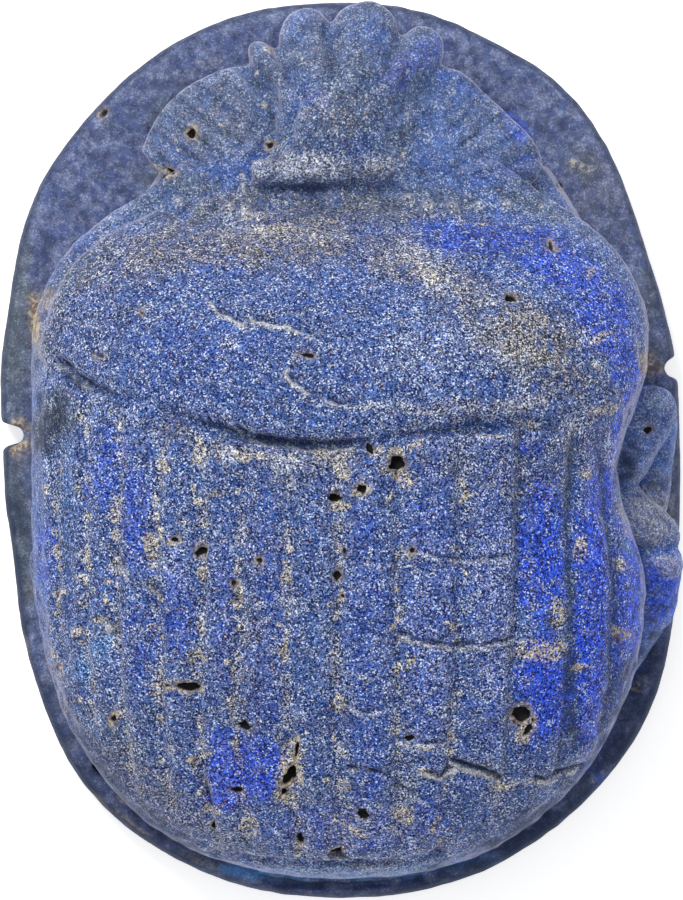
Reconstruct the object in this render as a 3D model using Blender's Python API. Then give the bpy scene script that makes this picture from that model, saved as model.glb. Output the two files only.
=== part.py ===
# Scarab amulet, pressed and carved in one piece of blue frit.
# It lies on its flat underside, with the head towards +Y and the back up.

import math

import bmesh
import bpy
from mathutils import Vector

MM = 0.001

# The whole amulet
LENGTH = 30.0 * MM
WIDTH = 22.7 * MM
HEIGHT = 12.4 * MM

# The oval plinth under the beetle
PLINTH_THICKNESS = 2.1 * MM
PLINTH_ROUNDING = 0.45 * MM
OVAL_POWER = 2.3
OVAL_POINTS = 96
# Where the hand-cut rim leaves the true oval: angle and spread in degrees, then the push outwards
RIM_WEAR = (
    (35, 14, -0.33 * MM),
    (70, 8, -0.22 * MM),
    (142, 14, 0.38 * MM),
    (166, 9, 0.15 * MM),
    (198, 9, -0.17 * MM),
    (232, 12, 0.26 * MM),
    (320, 18, 0.52 * MM),
)

# The cord notches broken through the plinth's sides
LEFT_NOTCH_ALONG = 0.5 * MM
LEFT_NOTCH_DEPTH = 0.75 * MM
LEFT_NOTCH_WIDTH = 0.62 * MM
RIGHT_NOTCH_ALONG = 2.75 * MM
RIGHT_NOTCH_DEPTH = 0.42 * MM
RIGHT_NOTCH_WIDTH = 0.7 * MM

# The stringing hole, drilled from head to tail
BORE_DIAMETER = 1.9 * MM
BORE_FLOOR = 0.95 * MM
BORE_ROOF = 0.8 * MM
BORE_SIDES = 20

# The back: pronotum in front, wing cases behind, parted by a curved groove
BACK_SINK = 0.8 * MM
GROOVE_WIDTH = 0.56 * MM
GROOVE_DEPTH = 0.3 * MM
# The groove ends short of the left edge, as a share of the way there, and is worn shallow on the right
GROOVE_LEFT_END = 0.92
GROOVE_RIGHT_WORN = 0.4
FURROW_WIDTH = 0.5 * MM
FURROW_DEPTH = 0.17 * MM
FLANK_UNDERCUT = 1.35 * MM
COLLAR_SLOPE = 1.3 * MM
COLLAR_NARROWING = 0.75
LANE_POWER = 7

# Proportions of the beetle, as shares of half the length, half the width or the height over the plinth
TAIL_ALONG = -0.953
GROOVE_ALONG = 0.009
GROOVE_BEND = 0.235
COLLAR_ALONG = 0.48
COLLAR_BEND = 0.21
SHOULDER_ALONG = 0.22
SHOULDER_REACH = 0.433
HIP_ALONG = -0.2
PRONOTUM_ACROSS = 0.91
ELYTRA_ACROSS = 0.907
WAIST_ALONG = -0.05
WAIST_SPREAD = 0.16
RIGHT_WAIST = 0.1
LEFT_WAIST = -0.006
SIDE_RIM_UP = 0.4
CREST_ALONG = 0.03
COLLAR_UP = 0.6
SUTURE_ACROSS = -0.012
LEFT_FURROWS, LEFT_PITCH = 6, 0.141
RIGHT_FURROWS, RIGHT_PITCH = 5, 0.185
PITCH_LOSS = 0.021

TAIL_ROWS = 21
PRONOTUM_ROWS = 9
BAR_SIDES = 10
HEAD_SIDES = 16


def smooth_step(share):
    share = min(1.0, max(0.0, share))
    return share * share * (3 - 2 * share)


def swell(value, middle, spread):
    """A bell that is 1 at the middle and falls away over the spread."""
    return math.exp(-(((value - middle) / spread) ** 2))


def spot(across, along, up):
    """A point of the beetle, in shares of half the width, half the length and the height over the plinth."""
    return Vector(
        (
            across * WIDTH / 2,
            along * LENGTH / 2,
            PLINTH_THICKNESS + up * (HEIGHT - PLINTH_THICKNESS),
        )
    )


def frit():
    material = bpy.data.materials.new("blue_frit")
    material.use_nodes = True
    shader = material.node_tree.nodes["Principled BSDF"]
    shader.inputs["Base Color"].default_value = (0.07, 0.12, 0.40, 1)
    shader.inputs["Roughness"].default_value = 0.75
    shader.inputs["Metallic"].default_value = 0.0
    return material


def close_end(shape, loop, pairs):
    """Closes a ring with a fan or, when its last points stand in pairs, with strips between them."""
    if not pairs:
        middle = sum((vertex.co for vertex in loop), Vector()) / len(loop)
        tip = shape.verts.new(middle)
        for i in range(len(loop)):
            shape.faces.new((loop[i], loop[(i + 1) % len(loop)], tip))
        return
    right, left = loop[-2 * pairs : -pairs], loop[: -pairs - 1 : -1]
    shape.faces.new([*loop[: -2 * pairs], right[0], left[0]])
    for k in range(pairs - 1):
        shape.faces.new((left[k], right[k], right[k + 1], left[k + 1]))


def skin(name, rings, pairs=0):
    """A closed mesh through rings of equal count."""
    shape = bmesh.new()
    loops = [[shape.verts.new(point) for point in ring] for ring in rings]
    for below, above in zip(loops, loops[1:]):
        for i in range(len(below)):
            j = (i + 1) % len(below)
            shape.faces.new((below[i], below[j], above[j], above[i]))
    for loop in (loops[0], loops[-1]):
        close_end(shape, loop, pairs)
    bmesh.ops.recalc_face_normals(shape, faces=shape.faces)
    mesh = bpy.data.meshes.new(name)
    shape.to_mesh(mesh)
    shape.free()
    made = bpy.data.objects.new(name, mesh)
    bpy.context.scene.collection.objects.link(made)
    return made


def oval_rim(angle):
    """How far the plinth's edge stands from the middle at an angle in degrees."""
    turn = math.radians(angle)
    across = abs(math.cos(turn) / (WIDTH / 2)) ** OVAL_POWER
    along = abs(math.sin(turn) / (LENGTH / 2)) ** OVAL_POWER
    reach = (across + along) ** (-1 / OVAL_POWER)
    for middle, spread, push in RIM_WEAR:
        away = (angle - middle + 180) % 360 - 180
        reach += push * swell(away, 0, spread)
    return reach


def plinth():
    """The oval plate, flat below, with a worn edge."""

    def ring(inset, height):
        points = []
        for i in range(OVAL_POINTS):
            angle = 360 * i / OVAL_POINTS
            reach = oval_rim(angle) - inset
            turn = math.radians(angle)
            points.append(
                Vector((reach * math.cos(turn), reach * math.sin(turn), height))
            )
        return points

    corner = 1 - math.sqrt(0.5)
    rings = [
        ring(PLINTH_ROUNDING, 0),
        ring(PLINTH_ROUNDING * corner, PLINTH_ROUNDING * corner),
        ring(0, PLINTH_ROUNDING),
        ring(0, PLINTH_THICKNESS - PLINTH_ROUNDING),
        ring(PLINTH_ROUNDING * corner, PLINTH_THICKNESS - PLINTH_ROUNDING * corner),
        ring(PLINTH_ROUNDING, PLINTH_THICKNESS),
    ]
    return skin("plinth_form", rings)


def half_width(along, side):
    """Half the back's width at a share of the half length; side is -1 on the left and 1 on the right."""
    if along >= SHOULDER_ALONG:
        reach = min(1.0, (along - SHOULDER_ALONG) / SHOULDER_REACH)
        share = PRONOTUM_ACROSS * (1 - reach**2.2) ** (1 / 2.2)
    else:
        blend = smooth_step((SHOULDER_ALONG - along) / (SHOULDER_ALONG - HIP_ALONG))
        share = PRONOTUM_ACROSS + (ELYTRA_ACROSS - PRONOTUM_ACROSS) * blend
        if along < HIP_ALONG:
            reach = min(1.0, (HIP_ALONG - along) / (HIP_ALONG - TAIL_ALONG))
            share *= (1 - reach**2.3) ** (1 / 2.3)
    waist = RIGHT_WAIST if side > 0 else LEFT_WAIST
    share -= waist * swell(along, WAIST_ALONG, WAIST_SPREAD)
    return share * WIDTH / 2


def tail_rim_height():
    """The wing cases' edge at the tail clears the stringing hole by its roof."""
    return PLINTH_THICKNESS + BORE_FLOOR + BORE_DIAMETER + BORE_ROOF


def rim_height(along):
    """The height of the back's edge, lowest at the tail."""
    side = spot(0, 0, SIDE_RIM_UP).z
    fall = smooth_step((HIP_ALONG - along) / (HIP_ALONG - TAIL_ALONG))
    return side + (tail_rim_height() - side) * fall


def crest_height(along):
    """The height of the back over the middle line."""
    if along < CREST_ALONG:
        reach = min(1.0, (CREST_ALONG - along) / (CREST_ALONG - TAIL_ALONG))
        low = tail_rim_height()
        return low + (HEIGHT - low) * (1 - reach**2.15) ** (1 / 2.15)
    reach = (along - CREST_ALONG) / (COLLAR_ALONG - CREST_ALONG)
    return HEIGHT - (HEIGHT - spot(0, 0, COLLAR_UP).z) * reach**2.5


def lane(across):
    """The lane coordinate of a place across the back at mid-length. Lanes crowd together towards the tail."""
    widest = ELYTRA_ACROSS * WIDTH / 2
    return across / (1 - abs(across / widest) ** LANE_POWER) ** (1 / LANE_POWER)


def lane_place(coordinate, reach):
    """Where a lane crosses a row whose edge is that far from the middle line."""
    share = abs(coordinate) / reach
    return coordinate / (1 + share**LANE_POWER) ** (1 / LANE_POWER)


def furrow_places():
    """Where the wing cases' furrows lie at mid-length, left to right, with the suture among them."""
    suture = SUTURE_ACROSS
    left = [
        suture - LEFT_PITCH * k + PITCH_LOSS / LEFT_FURROWS * k * (k - 1) / 2
        for k in range(LEFT_FURROWS, 0, -1)
    ]
    right = [
        suture + RIGHT_PITCH * k - PITCH_LOSS / RIGHT_FURROWS * k * (k - 1) / 2
        for k in range(1, RIGHT_FURROWS + 1)
    ]
    return [share * WIDTH / 2 for share in [*left, suture, *right]]


def columns():
    """The columns of the back's grid at mid-length: each furrow's floor and lips, and the rib between."""
    floors = furrow_places()
    edge = ELYTRA_ACROSS * WIDTH / 2
    lip = FURROW_WIDTH / 2
    places = []
    for floor in floors:
        places += [floor - lip, floor, floor + lip]
    for a, b in zip(floors, floors[1:]):
        places.append((a + b) / 2)
    places.append((floors[0] - lip - edge) / 2)
    places.append((floors[-1] + lip + edge) / 2)
    return sorted(places)


def rib_relief(across):
    """How far the surface lies below the ribs' tops at a place across the back at mid-length."""
    depth = 0.0
    for floor in furrow_places():
        if abs(across - floor) < FURROW_WIDTH / 4:
            depth = FURROW_DEPTH
    return depth


def row_stations():
    """Each row of the back, tail to collar: its place on the middle line, its bend, how far it lies
    in the groove and how strongly it carries ribs."""
    half = LENGTH / 2
    lip = GROOVE_WIDTH / 2 / half
    rows = []
    last = GROOVE_ALONG - 3 * lip
    for i in range(TAIL_ROWS + 1):
        share = 1 - math.cos(math.pi / 2 * (0.012 + 0.988 * i / TAIL_ROWS))
        along = TAIL_ALONG + (last - TAIL_ALONG) * share
        rows.append((along, GROOVE_BEND * smooth_step(share), 0.0, smooth_step(i / 4)))
    rows.append((GROOVE_ALONG - lip, GROOVE_BEND, 0.0, 0.0))
    rows.append((GROOVE_ALONG, GROOVE_BEND, 1.0, 0.0))
    rows.append((GROOVE_ALONG + lip, GROOVE_BEND, 0.0, 0.0))
    for i in range(1, PRONOTUM_ROWS + 1):
        share = (i / PRONOTUM_ROWS) ** 0.9
        first = GROOVE_ALONG + lip
        along = first + (COLLAR_ALONG - first) * share
        bend = GROOVE_BEND + (COLLAR_BEND - GROOVE_BEND) * share
        rows.append((along, bend, 0.0, 0.0))
    return rows


def groove_left(share, side):
    """The share of the groove's depth that is left, at a share of the way from the middle to one edge."""
    if side < 0:
        return smooth_step((GROOVE_LEFT_END - share) / 0.1)
    return 1 - (1 - GROOVE_RIGHT_WORN) * smooth_step((share - 0.25) / 0.3)


def row_edge(along, bend, side):
    """Where a bent row meets the back's outline: its reach across and its place along."""
    reach = half_width(along, side)
    for _ in range(12):
        end = along + bend * (reach / (WIDTH / 2)) ** 2
        reach = (reach + half_width(end, side)) / 2
    return reach, along + bend * (reach / (WIDTH / 2)) ** 2


def outward(along, side):
    """The outline's outward direction in plan at a place along the back."""
    step = 0.002
    lean = half_width(along + step, side) - half_width(along - step, side)
    return Vector((side * step * LENGTH, -lean, 0)).normalized()


def back_row(along, bend, groove, ribs):
    """One row's ring: over the back from left to right, then round under the flanks."""
    edges = {side: row_edge(along, bend, side) for side in (-1, 1)}
    ring = []
    for place in [None, *columns(), None]:
        if place is None:
            side = 1 if ring else -1
            across = edges[side][0]
            share = 1.0
        else:
            side = 1 if place > 0 else -1
            across = abs(lane_place(lane(place), edges[side][0]))
            share = across / edges[side][0]
        there = along + bend * (across / (WIDTH / 2)) ** 2
        low = rim_height(there)
        dome = (1 - share**2.3) ** 0.5
        height = low + (crest_height(there) - low) * dome
        if place is not None:
            fade = smooth_step((1 - share) / 0.06)
            height -= GROOVE_DEPTH * groove * groove_left(share, side) * fade
            height -= rib_relief(place) * ribs * fade
        ring.append(Vector((side * across, there * LENGTH / 2, height)))
    return ring, edges


def flank(edge, side):
    """The points from under the back's edge down into the plinth."""
    reach, there = edge
    rim = rim_height(there)
    direction = outward(there, side)
    foot = PLINTH_THICKNESS
    steps = (
        (0.10, rim - 0.08 * (rim - foot)),
        (0.55, rim - 0.22 * (rim - foot)),
        (1.00, rim - 0.50 * (rim - foot)),
        (0.85, foot + 0.12 * (rim - foot)),
        (0.60, foot - BACK_SINK),
    )
    start = Vector((side * reach, there * LENGTH / 2, 0))
    points = []
    for share, height in steps:
        point = start - direction * FLANK_UNDERCUT * share + Vector((0, 0, height))
        point.x = side * max(point.x * side, reach / 3)
        points.append(point)
    return points


def back():
    """Pronotum and wing cases: a dome with an undercut flank, sunk into the plinth."""
    rings = []
    for along, bend, groove, ribs in row_stations():
        ring, edges = back_row(along, bend, groove, ribs)
        right, left = flank(edges[1], 1), flank(edges[-1], -1)
        rings.append([*ring, *right, *reversed(left)])
    shelf = []
    for point in rings[-1]:
        height = min(point.z, spot(0, 0, SIDE_RIM_UP).z)
        shelf.append(Vector((point.x * COLLAR_NARROWING, point.y + COLLAR_SLOPE, height)))
    rings.append(shelf)
    return skin("back_form", rings, pairs=len(right))


def bar(name, start, end, start_radius, end_radius, flatness=1.0, sides=BAR_SIDES):
    """A tapered bar with round ends, such as a leg; a flatness under 1 makes it lower than it is wide."""
    axis = (end - start).normalized()
    side = axis.cross(Vector((0, 0, 1))).normalized()
    up = side.cross(axis).normalized()
    loops = []
    for centre, radius, tilts in (
        (start, start_radius, (-80, -50, -25, 0)),
        (end, end_radius, (0, 25, 50, 80)),
    ):
        for tilt in tilts:
            turn = math.radians(tilt)
            middle = centre + axis * radius * math.sin(turn)
            loop = []
            for i in range(sides):
                spin = 2 * math.pi * i / sides
                across = side * math.cos(spin) + up * flatness * math.sin(spin)
                loop.append(middle + across * radius * math.cos(turn))
            loops.append(loop)
    return skin(name, loops)


def disc(name, centre, reach, levels, points=40):
    """A plate round a centre. reach(angle) is its outline; each level is a share of it, an inset and
    a height(angle)."""
    rings = []
    for share, inset, height in levels:
        ring = []
        for i in range(points):
            angle = 360 * i / points
            turn = math.radians(angle)
            away = max(0.05 * reach(angle), reach(angle) * share - inset)
            place = centre + Vector((away * math.cos(turn), away * math.sin(turn), 0))
            place.z = height(angle)
            ring.append(place)
        rings.append(ring)
    return skin(name, rings)


# The head: a fan-shaped shield with four teeth, a domed crown, a brow and the eyes
HEAD_ACROSS = -0.02
HEAD_ALONG = 0.67
SHIELD_REACH = 3.3 * MM
SHIELD_LEAN = 0.95 * MM
SHIELD_LEAN_ANGLE = 55
SHIELD_UNDERCUT = 0.6 * MM
SHIELD_EDGE = 1.0 * MM
SHIELD_EDGE_UP = 0.345
SHIELD_CROWN_UP = 0.48
SHIELD_POINTS = 90
# Each tooth: its angle and half its spread in degrees, and how far its tip stands out of the shield
TEETH = (
    (129, 8, 0.95 * MM),
    (105, 13, 0.9 * MM),
    (76, 15, 0.85 * MM),
    (49, 11, 0.95 * MM),
)
TOOTH_RIDGE = 0.12 * MM
# Each lump: its two ends as across, along and up, its radius at either end as a share of half the width,
# and its flatness
HEAD_LUMPS = (
    ("crown", (0.0, 0.74, 0.4), (-0.01, 0.675, 0.42), 0.101, 0.141, 0.75),
    ("brow", (-0.165, 0.618, 0.45), (0.11, 0.632, 0.438), 0.07, 0.055, 0.8),
    ("left_eye", (-0.222, 0.6, 0.44), (-0.222, 0.624, 0.44), 0.047, 0.043, 1.0),
    ("right_eye", (0.176, 0.625, 0.42), (0.176, 0.65, 0.42), 0.047, 0.043, 1.0),
)


def tooth_at(angle):
    """The tooth that covers an angle: how far its tip stands out, and how near its middle the angle is,
    from 0 to 1."""
    for middle, spread, push in TEETH:
        if abs(angle - middle) < spread:
            return push, 1 - ((angle - middle) / spread) ** 2
    return 0.0, 0.0


def shield():
    """The toothed shield, with a low ridge running back from each tooth."""
    centre = spot(HEAD_ACROSS, HEAD_ALONG, 0)

    def reach(angle):
        lean = SHIELD_LEAN * math.cos(math.radians(angle - SHIELD_LEAN_ANGLE))
        push, nearness = tooth_at(angle)
        return SHIELD_REACH + lean + push * nearness**0.6

    def ridge(angle):
        return TOOTH_RIDGE * tooth_at(angle)[1]

    edge = spot(0, 0, SHIELD_EDGE_UP).z
    crown = spot(0, 0, SHIELD_CROWN_UP).z
    levels = (
        (1.0, SHIELD_UNDERCUT, lambda angle: PLINTH_THICKNESS - BACK_SINK),
        (1.0, SHIELD_UNDERCUT, lambda angle: edge - 1.6 * SHIELD_EDGE),
        (1.0, 0.0, lambda angle: edge - SHIELD_EDGE),
        (1.0, 0.0, lambda angle: edge - SHIELD_EDGE / 4),
        (0.93, 0.0, lambda angle: edge + ridge(angle)),
        (0.65, 0.0, lambda angle: edge + (crown - edge) * 0.45 + ridge(angle) / 2),
        (0.25, 0.0, lambda angle: crown),
    )
    return disc("shield_form", centre, reach, levels, SHIELD_POINTS)


def head():
    """The shield, and the crown, brow and eyes on it."""
    made = [shield()]
    for name, start, end, start_share, end_share, flatness in HEAD_LUMPS:
        made.append(
            bar(
                f"{name}_form",
                spot(*start),
                spot(*end),
                start_share * WIDTH / 2,
                end_share * WIDTH / 2,
                flatness,
                HEAD_SIDES,
            )
        )
    return made


# The forelegs: broad plates beside the head, notched like a saw
FORELEG_ACROSS = 0.262
FORELEG_ALONG = 0.6
FORELEG_REACH = 3.8 * MM
FORELEG_HEEL = 2.5 * MM
LEFT_FORELEG_FROM, RIGHT_FORELEG_FROM = 16, 6
# The right plate's edge is cut straight, square to this angle
RIGHT_FORELEG_CUT = 3.36 * MM
RIGHT_FORELEG_CUT_ANGLE = 46
FORELEG_TO = 92
FORELEG_NOTCHES = 6
FORELEG_NOTCH_DEPTH = 0.16 * MM
FORELEG_UNDERCUT = 0.5 * MM
FORELEG_PLATE = 0.7 * MM
FORELEG_EDGE_UP = 0.33
FORELEG_INNER_UP = 0.405


def foreleg(side):
    """One foreleg's plate, on the left for -1 and on the right for 1."""
    centre = spot(side * FORELEG_ACROSS, FORELEG_ALONG, 0)
    start = RIGHT_FORELEG_FROM if side > 0 else LEFT_FORELEG_FROM

    def spread(angle):
        """0 outside the plate's blade and 1 within it, with the angle taken on the right-hand side."""
        own = angle if side > 0 else 180 - angle
        own = (own + 180) % 360 - 180
        return smooth_step((own - start) / 20 + 1) * smooth_step((FORELEG_TO - own) / 20 + 1)

    def reach(angle):
        round_reach = FORELEG_HEEL + (FORELEG_REACH - FORELEG_HEEL) * spread(angle)
        facing = math.cos(math.radians(angle - RIGHT_FORELEG_CUT_ANGLE))
        if side < 0 or facing < 0.5:
            return round_reach
        return min(round_reach, RIGHT_FORELEG_CUT / facing)

    def notch(angle):
        own = angle if side > 0 else 180 - angle
        own = (own + 180) % 360 - 180
        share = (own - start) / (FORELEG_TO - start)
        wave = 0.5 - 0.5 * math.cos(2 * math.pi * share * FORELEG_NOTCHES)
        return FORELEG_NOTCH_DEPTH * wave * spread(angle)

    edge = spot(0, 0, FORELEG_EDGE_UP).z
    inner = spot(0, 0, FORELEG_INNER_UP).z
    levels = (
        (1.0, FORELEG_UNDERCUT, lambda angle: PLINTH_THICKNESS - BACK_SINK),
        (1.0, FORELEG_UNDERCUT, lambda angle: edge - 1.6 * FORELEG_PLATE),
        (1.0, 0.0, lambda angle: edge - FORELEG_PLATE),
        (1.0, 0.0, lambda angle: edge - FORELEG_PLATE / 3 - notch(angle)),
        (0.93, 0.0, lambda angle: edge - notch(angle)),
        (0.65, 0.0, lambda angle: edge + (inner - edge) * 0.6 - notch(angle) * 0.8),
        (0.25, 0.0, lambda angle: inner),
    )
    return disc(f"foreleg_form_{side}", centre, reach, levels, points=48)


# The middle and hind legs, folded against the flank: thigh then shin, on the right-hand side
MIDDLE_THIGH = ((0.81, -0.02, 0.24), (0.91, 0.085, 0.19))
MIDDLE_SHIN = ((0.925, 0.06, 0.11), (0.9, -0.12, 0.1))
HIND_THIGH = ((0.8, -0.13, 0.22), (0.915, -0.19, 0.2))
HIND_KNEE = ((0.922, -0.25, 0.19), (0.905, -0.345, 0.16))
HIND_SHIN = ((0.885, -0.36, 0.11), (0.72, -0.58, 0.08))
FORE_THIGH = ((0.7, 0.38, 0.2), (0.56, 0.58, 0.14))
THIGH_RADIUS = 1.1 * MM
KNEE_RADIUS = 0.95 * MM
SHIN_RADIUS = 0.75 * MM
LEFT_LEG_TUCK = 0.085


def legs(side):
    """The folded legs of one side. The left ones lie a little closer to the body."""
    tuck = 0.0 if side > 0 else LEFT_LEG_TUCK

    def place(shares):
        across, along, up = shares
        return spot(side * (across - tuck), along, up)

    made = []
    for name, (start, end), radii in (
        ("fore_thigh", FORE_THIGH, (THIGH_RADIUS, KNEE_RADIUS)),
        ("middle_thigh", MIDDLE_THIGH, (THIGH_RADIUS, KNEE_RADIUS)),
        ("middle_shin", MIDDLE_SHIN, (SHIN_RADIUS, SHIN_RADIUS)),
        ("hind_thigh", HIND_THIGH, (THIGH_RADIUS, KNEE_RADIUS)),
        ("hind_knee", HIND_KNEE, (KNEE_RADIUS, KNEE_RADIUS)),
        ("hind_shin", HIND_SHIN, (KNEE_RADIUS, SHIN_RADIUS)),
    ):
        made.append(bar(f"{name}_form_{side}", place(start), place(end), *radii))
    return made


def stringing_hole():
    """The cutter for the hole from head to tail."""
    height = PLINTH_THICKNESS + BORE_FLOOR + BORE_DIAMETER / 2
    bpy.ops.mesh.primitive_cylinder_add(
        vertices=BORE_SIDES,
        radius=BORE_DIAMETER / 2,
        depth=LENGTH * 1.2,
        location=(0, 0, height),
        rotation=(math.radians(90), 0, 0),
    )
    bpy.context.object.name = "stringing_hole_cutter"
    return bpy.context.object


def notch(side, along, depth, width):
    """The cutter for a notch through the plinth's edge, rounded at its inner end."""
    angle = math.degrees(math.atan2(along, side * WIDTH / 2)) % 360
    edge = oval_rim(angle) * math.cos(math.radians(angle))
    inner = edge - side * (depth - width / 2)
    rings = []
    for height in (-PLINTH_THICKNESS, PLINTH_THICKNESS * 1.4):
        ring = []
        for turn in (90, 120, 150, 180, 210, 240, 270):
            ring.append(
                Vector(
                    (
                        inner + side * width / 2 * math.cos(math.radians(turn)),
                        along + width / 2 * math.sin(math.radians(turn)),
                        height,
                    )
                )
            )
        for flare in (-1, 1):
            ring.append(Vector((edge + side * width, along + flare * width, height)))
        rings.append(ring)
    return skin(f"notch_cutter_{side}", rings)


def join(body, pieces, operation):
    """Joins or cuts the pieces, which stay behind as hidden guides."""
    for piece in pieces:
        piece.hide_render = True
        piece.display_type = "WIRE"
        step = body.modifiers.new(piece.name, "BOOLEAN")
        step.operation = operation
        step.solver = "EXACT"
        step.object = piece


def scarab():
    """The whole amulet as one solid."""
    body = plinth()
    body.name = "scarab"
    pieces = [back(), *head()]
    for side in (-1, 1):
        pieces.append(foreleg(side))
        pieces += legs(side)
    join(body, pieces, "UNION")
    cuts = [
        stringing_hole(),
        notch(-1, LEFT_NOTCH_ALONG, LEFT_NOTCH_DEPTH, LEFT_NOTCH_WIDTH),
        notch(1, RIGHT_NOTCH_ALONG, RIGHT_NOTCH_DEPTH, RIGHT_NOTCH_WIDTH),
    ]
    join(body, cuts, "DIFFERENCE")
    body.data.materials.append(frit())
    return body


for old in list(bpy.data.objects):
    bpy.data.objects.remove(old)
scarab()
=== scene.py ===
# A scarab amulet of blue frit, seen from above with the head away from the viewer.
import itertools
import math

import bpy
import numpy as np
from mathutils import Euler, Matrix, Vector


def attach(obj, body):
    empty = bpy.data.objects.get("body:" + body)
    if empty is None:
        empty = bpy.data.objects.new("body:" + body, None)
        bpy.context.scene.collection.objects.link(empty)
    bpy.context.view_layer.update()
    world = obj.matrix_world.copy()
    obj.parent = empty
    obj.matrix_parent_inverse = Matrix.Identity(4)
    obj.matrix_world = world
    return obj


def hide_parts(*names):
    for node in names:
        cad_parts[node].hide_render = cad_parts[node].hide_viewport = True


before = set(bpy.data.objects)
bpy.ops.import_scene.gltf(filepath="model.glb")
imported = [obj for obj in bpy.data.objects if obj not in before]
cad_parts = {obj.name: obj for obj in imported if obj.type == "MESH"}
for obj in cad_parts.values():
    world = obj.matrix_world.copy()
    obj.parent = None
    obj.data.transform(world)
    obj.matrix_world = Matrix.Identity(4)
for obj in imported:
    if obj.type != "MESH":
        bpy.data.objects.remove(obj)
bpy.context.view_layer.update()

# Frit body: the form
# One lump of blue frit, a gritty glass paste pressed in a mould, carved on the head, legs and back, and fired.
# The moulded form is the solid's own, with its corners rubbed round by wear.

MM = 0.001
GRAIN_OF_MESH = 0.105 * MM
FINE_TRIANGLES_ELSEWHERE = 26000


def smooth_step(value, low, high):
    """Rises from 0 at low to 1 at high, with soft ends."""
    share = np.clip((value - low) / (high - low), 0, 1)
    return share * share * (3 - 2 * share)


def only(thing):
    """Selects one object and makes it active."""
    bpy.ops.object.select_all(action="DESELECT")
    thing.select_set(True)
    bpy.context.view_layer.objects.active = thing


def apply_modifier(thing, kind, **settings):
    only(thing)
    step = thing.modifiers.new(kind.lower(), kind)
    for name, value in settings.items():
        setattr(step, name, value)
    bpy.ops.object.modifier_apply(modifier=step.name)


def places(thing):
    """Every vertex of a mesh, in millimetres, and its normal."""
    count = len(thing.data.vertices)
    points = np.empty(count * 3)
    thing.data.vertices.foreach_get("co", points)
    normals = np.empty(count * 3)
    thing.data.vertex_normals.foreach_get("vector", normals)
    return points.reshape(-1, 3) / MM, normals.reshape(-1, 3)


def group(thing, name, weights):
    """A vertex group from a weight for each vertex, in steps of a tenth."""
    made = thing.vertex_groups.new(name=name)
    steps = np.round(np.clip(weights, 0, 1) * 10).astype(int)
    for step in range(1, 11):
        members = np.flatnonzero(steps == step).tolist()
        if members:
            made.add(members, step / 10, "REPLACE")


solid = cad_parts["scarab"]
body = bpy.data.objects.new("frit_body", solid.data.copy())
bpy.context.scene.collection.objects.link(body)
only(body)
bpy.ops.object.mode_set(mode="EDIT")
bpy.ops.mesh.select_all(action="SELECT")
bpy.ops.mesh.remove_doubles(threshold=0.001 * MM)
bpy.ops.object.mode_set(mode="OBJECT")
apply_modifier(body, "REMESH", mode="VOXEL", voxel_size=GRAIN_OF_MESH)
apply_modifier(body, "SMOOTH", factor=0.5, iterations=5)

# The back was rubbed smoother than the rest before its furrows were cut
points, normals = places(body)
x, y, z = points.T
RIM = 6.1
back = smooth_step(z, RIM + 0.1, RIM + 0.7) * smooth_step(7.1 + 0.024 * x**2 - y, 0, 0.5)
group(body, "back", back)
apply_modifier(body, "SMOOTH", factor=0.5, iterations=45, vertex_group="back")

# The shield and the plates were left nearly flat inside their outlines
points, normals = places(body)
x, y, z = points.T
head = smooth_step(y, 7.6, 8.4) * smooth_step(z, 4.7, 5.1) * smooth_step(normals[:, 2], 0.55, 0.8)
group(body, "head", head)
apply_modifier(body, "SMOOTH", factor=0.5, iterations=22, vertex_group="head")

# The brow and the crown run into each other in one soft mound
points, normals = places(body)
x, y, z = points.T
mound = 1 - smooth_step(np.hypot((x - 0.4) / 3.6, (y - 9.3) / 1.9), 0.6, 1.0)
group(body, "mound", mound * smooth_step(z, 4.4, 4.9))
apply_modifier(body, "SMOOTH", factor=0.5, iterations=380, vertex_group="mound")

# Under the rim, in the stringing hole and below the plinth the mesh can be coarser
points, normals = places(body)
seen = (normals[:, 2] > -0.02) & (points[:, 2] > 0.25)
bore = (np.abs(points[:, 0]) < 1.1) & (points[:, 2] < 5.1) & (points[:, 2] > 2.9)
hidden = np.where(seen & ~bore, 0.0, 1.0)
group(body, "hidden", hidden)
triangles = sum(len(face.vertices) - 2 for face in body.data.polygons)
share_seen = 1 - hidden.mean()
ratio = (triangles * share_seen + FINE_TRIANGLES_ELSEWHERE) / triangles
apply_modifier(body, "DECIMATE", ratio=ratio, vertex_group="hidden")

# Frit body: the carving
# The carver cut the groove between thorax and wing cases, the long furrows and the saw marks on the forelegs, all
# with a point about a third of a millimetre wide. Places are millimetres across and along, seen from above.

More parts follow.
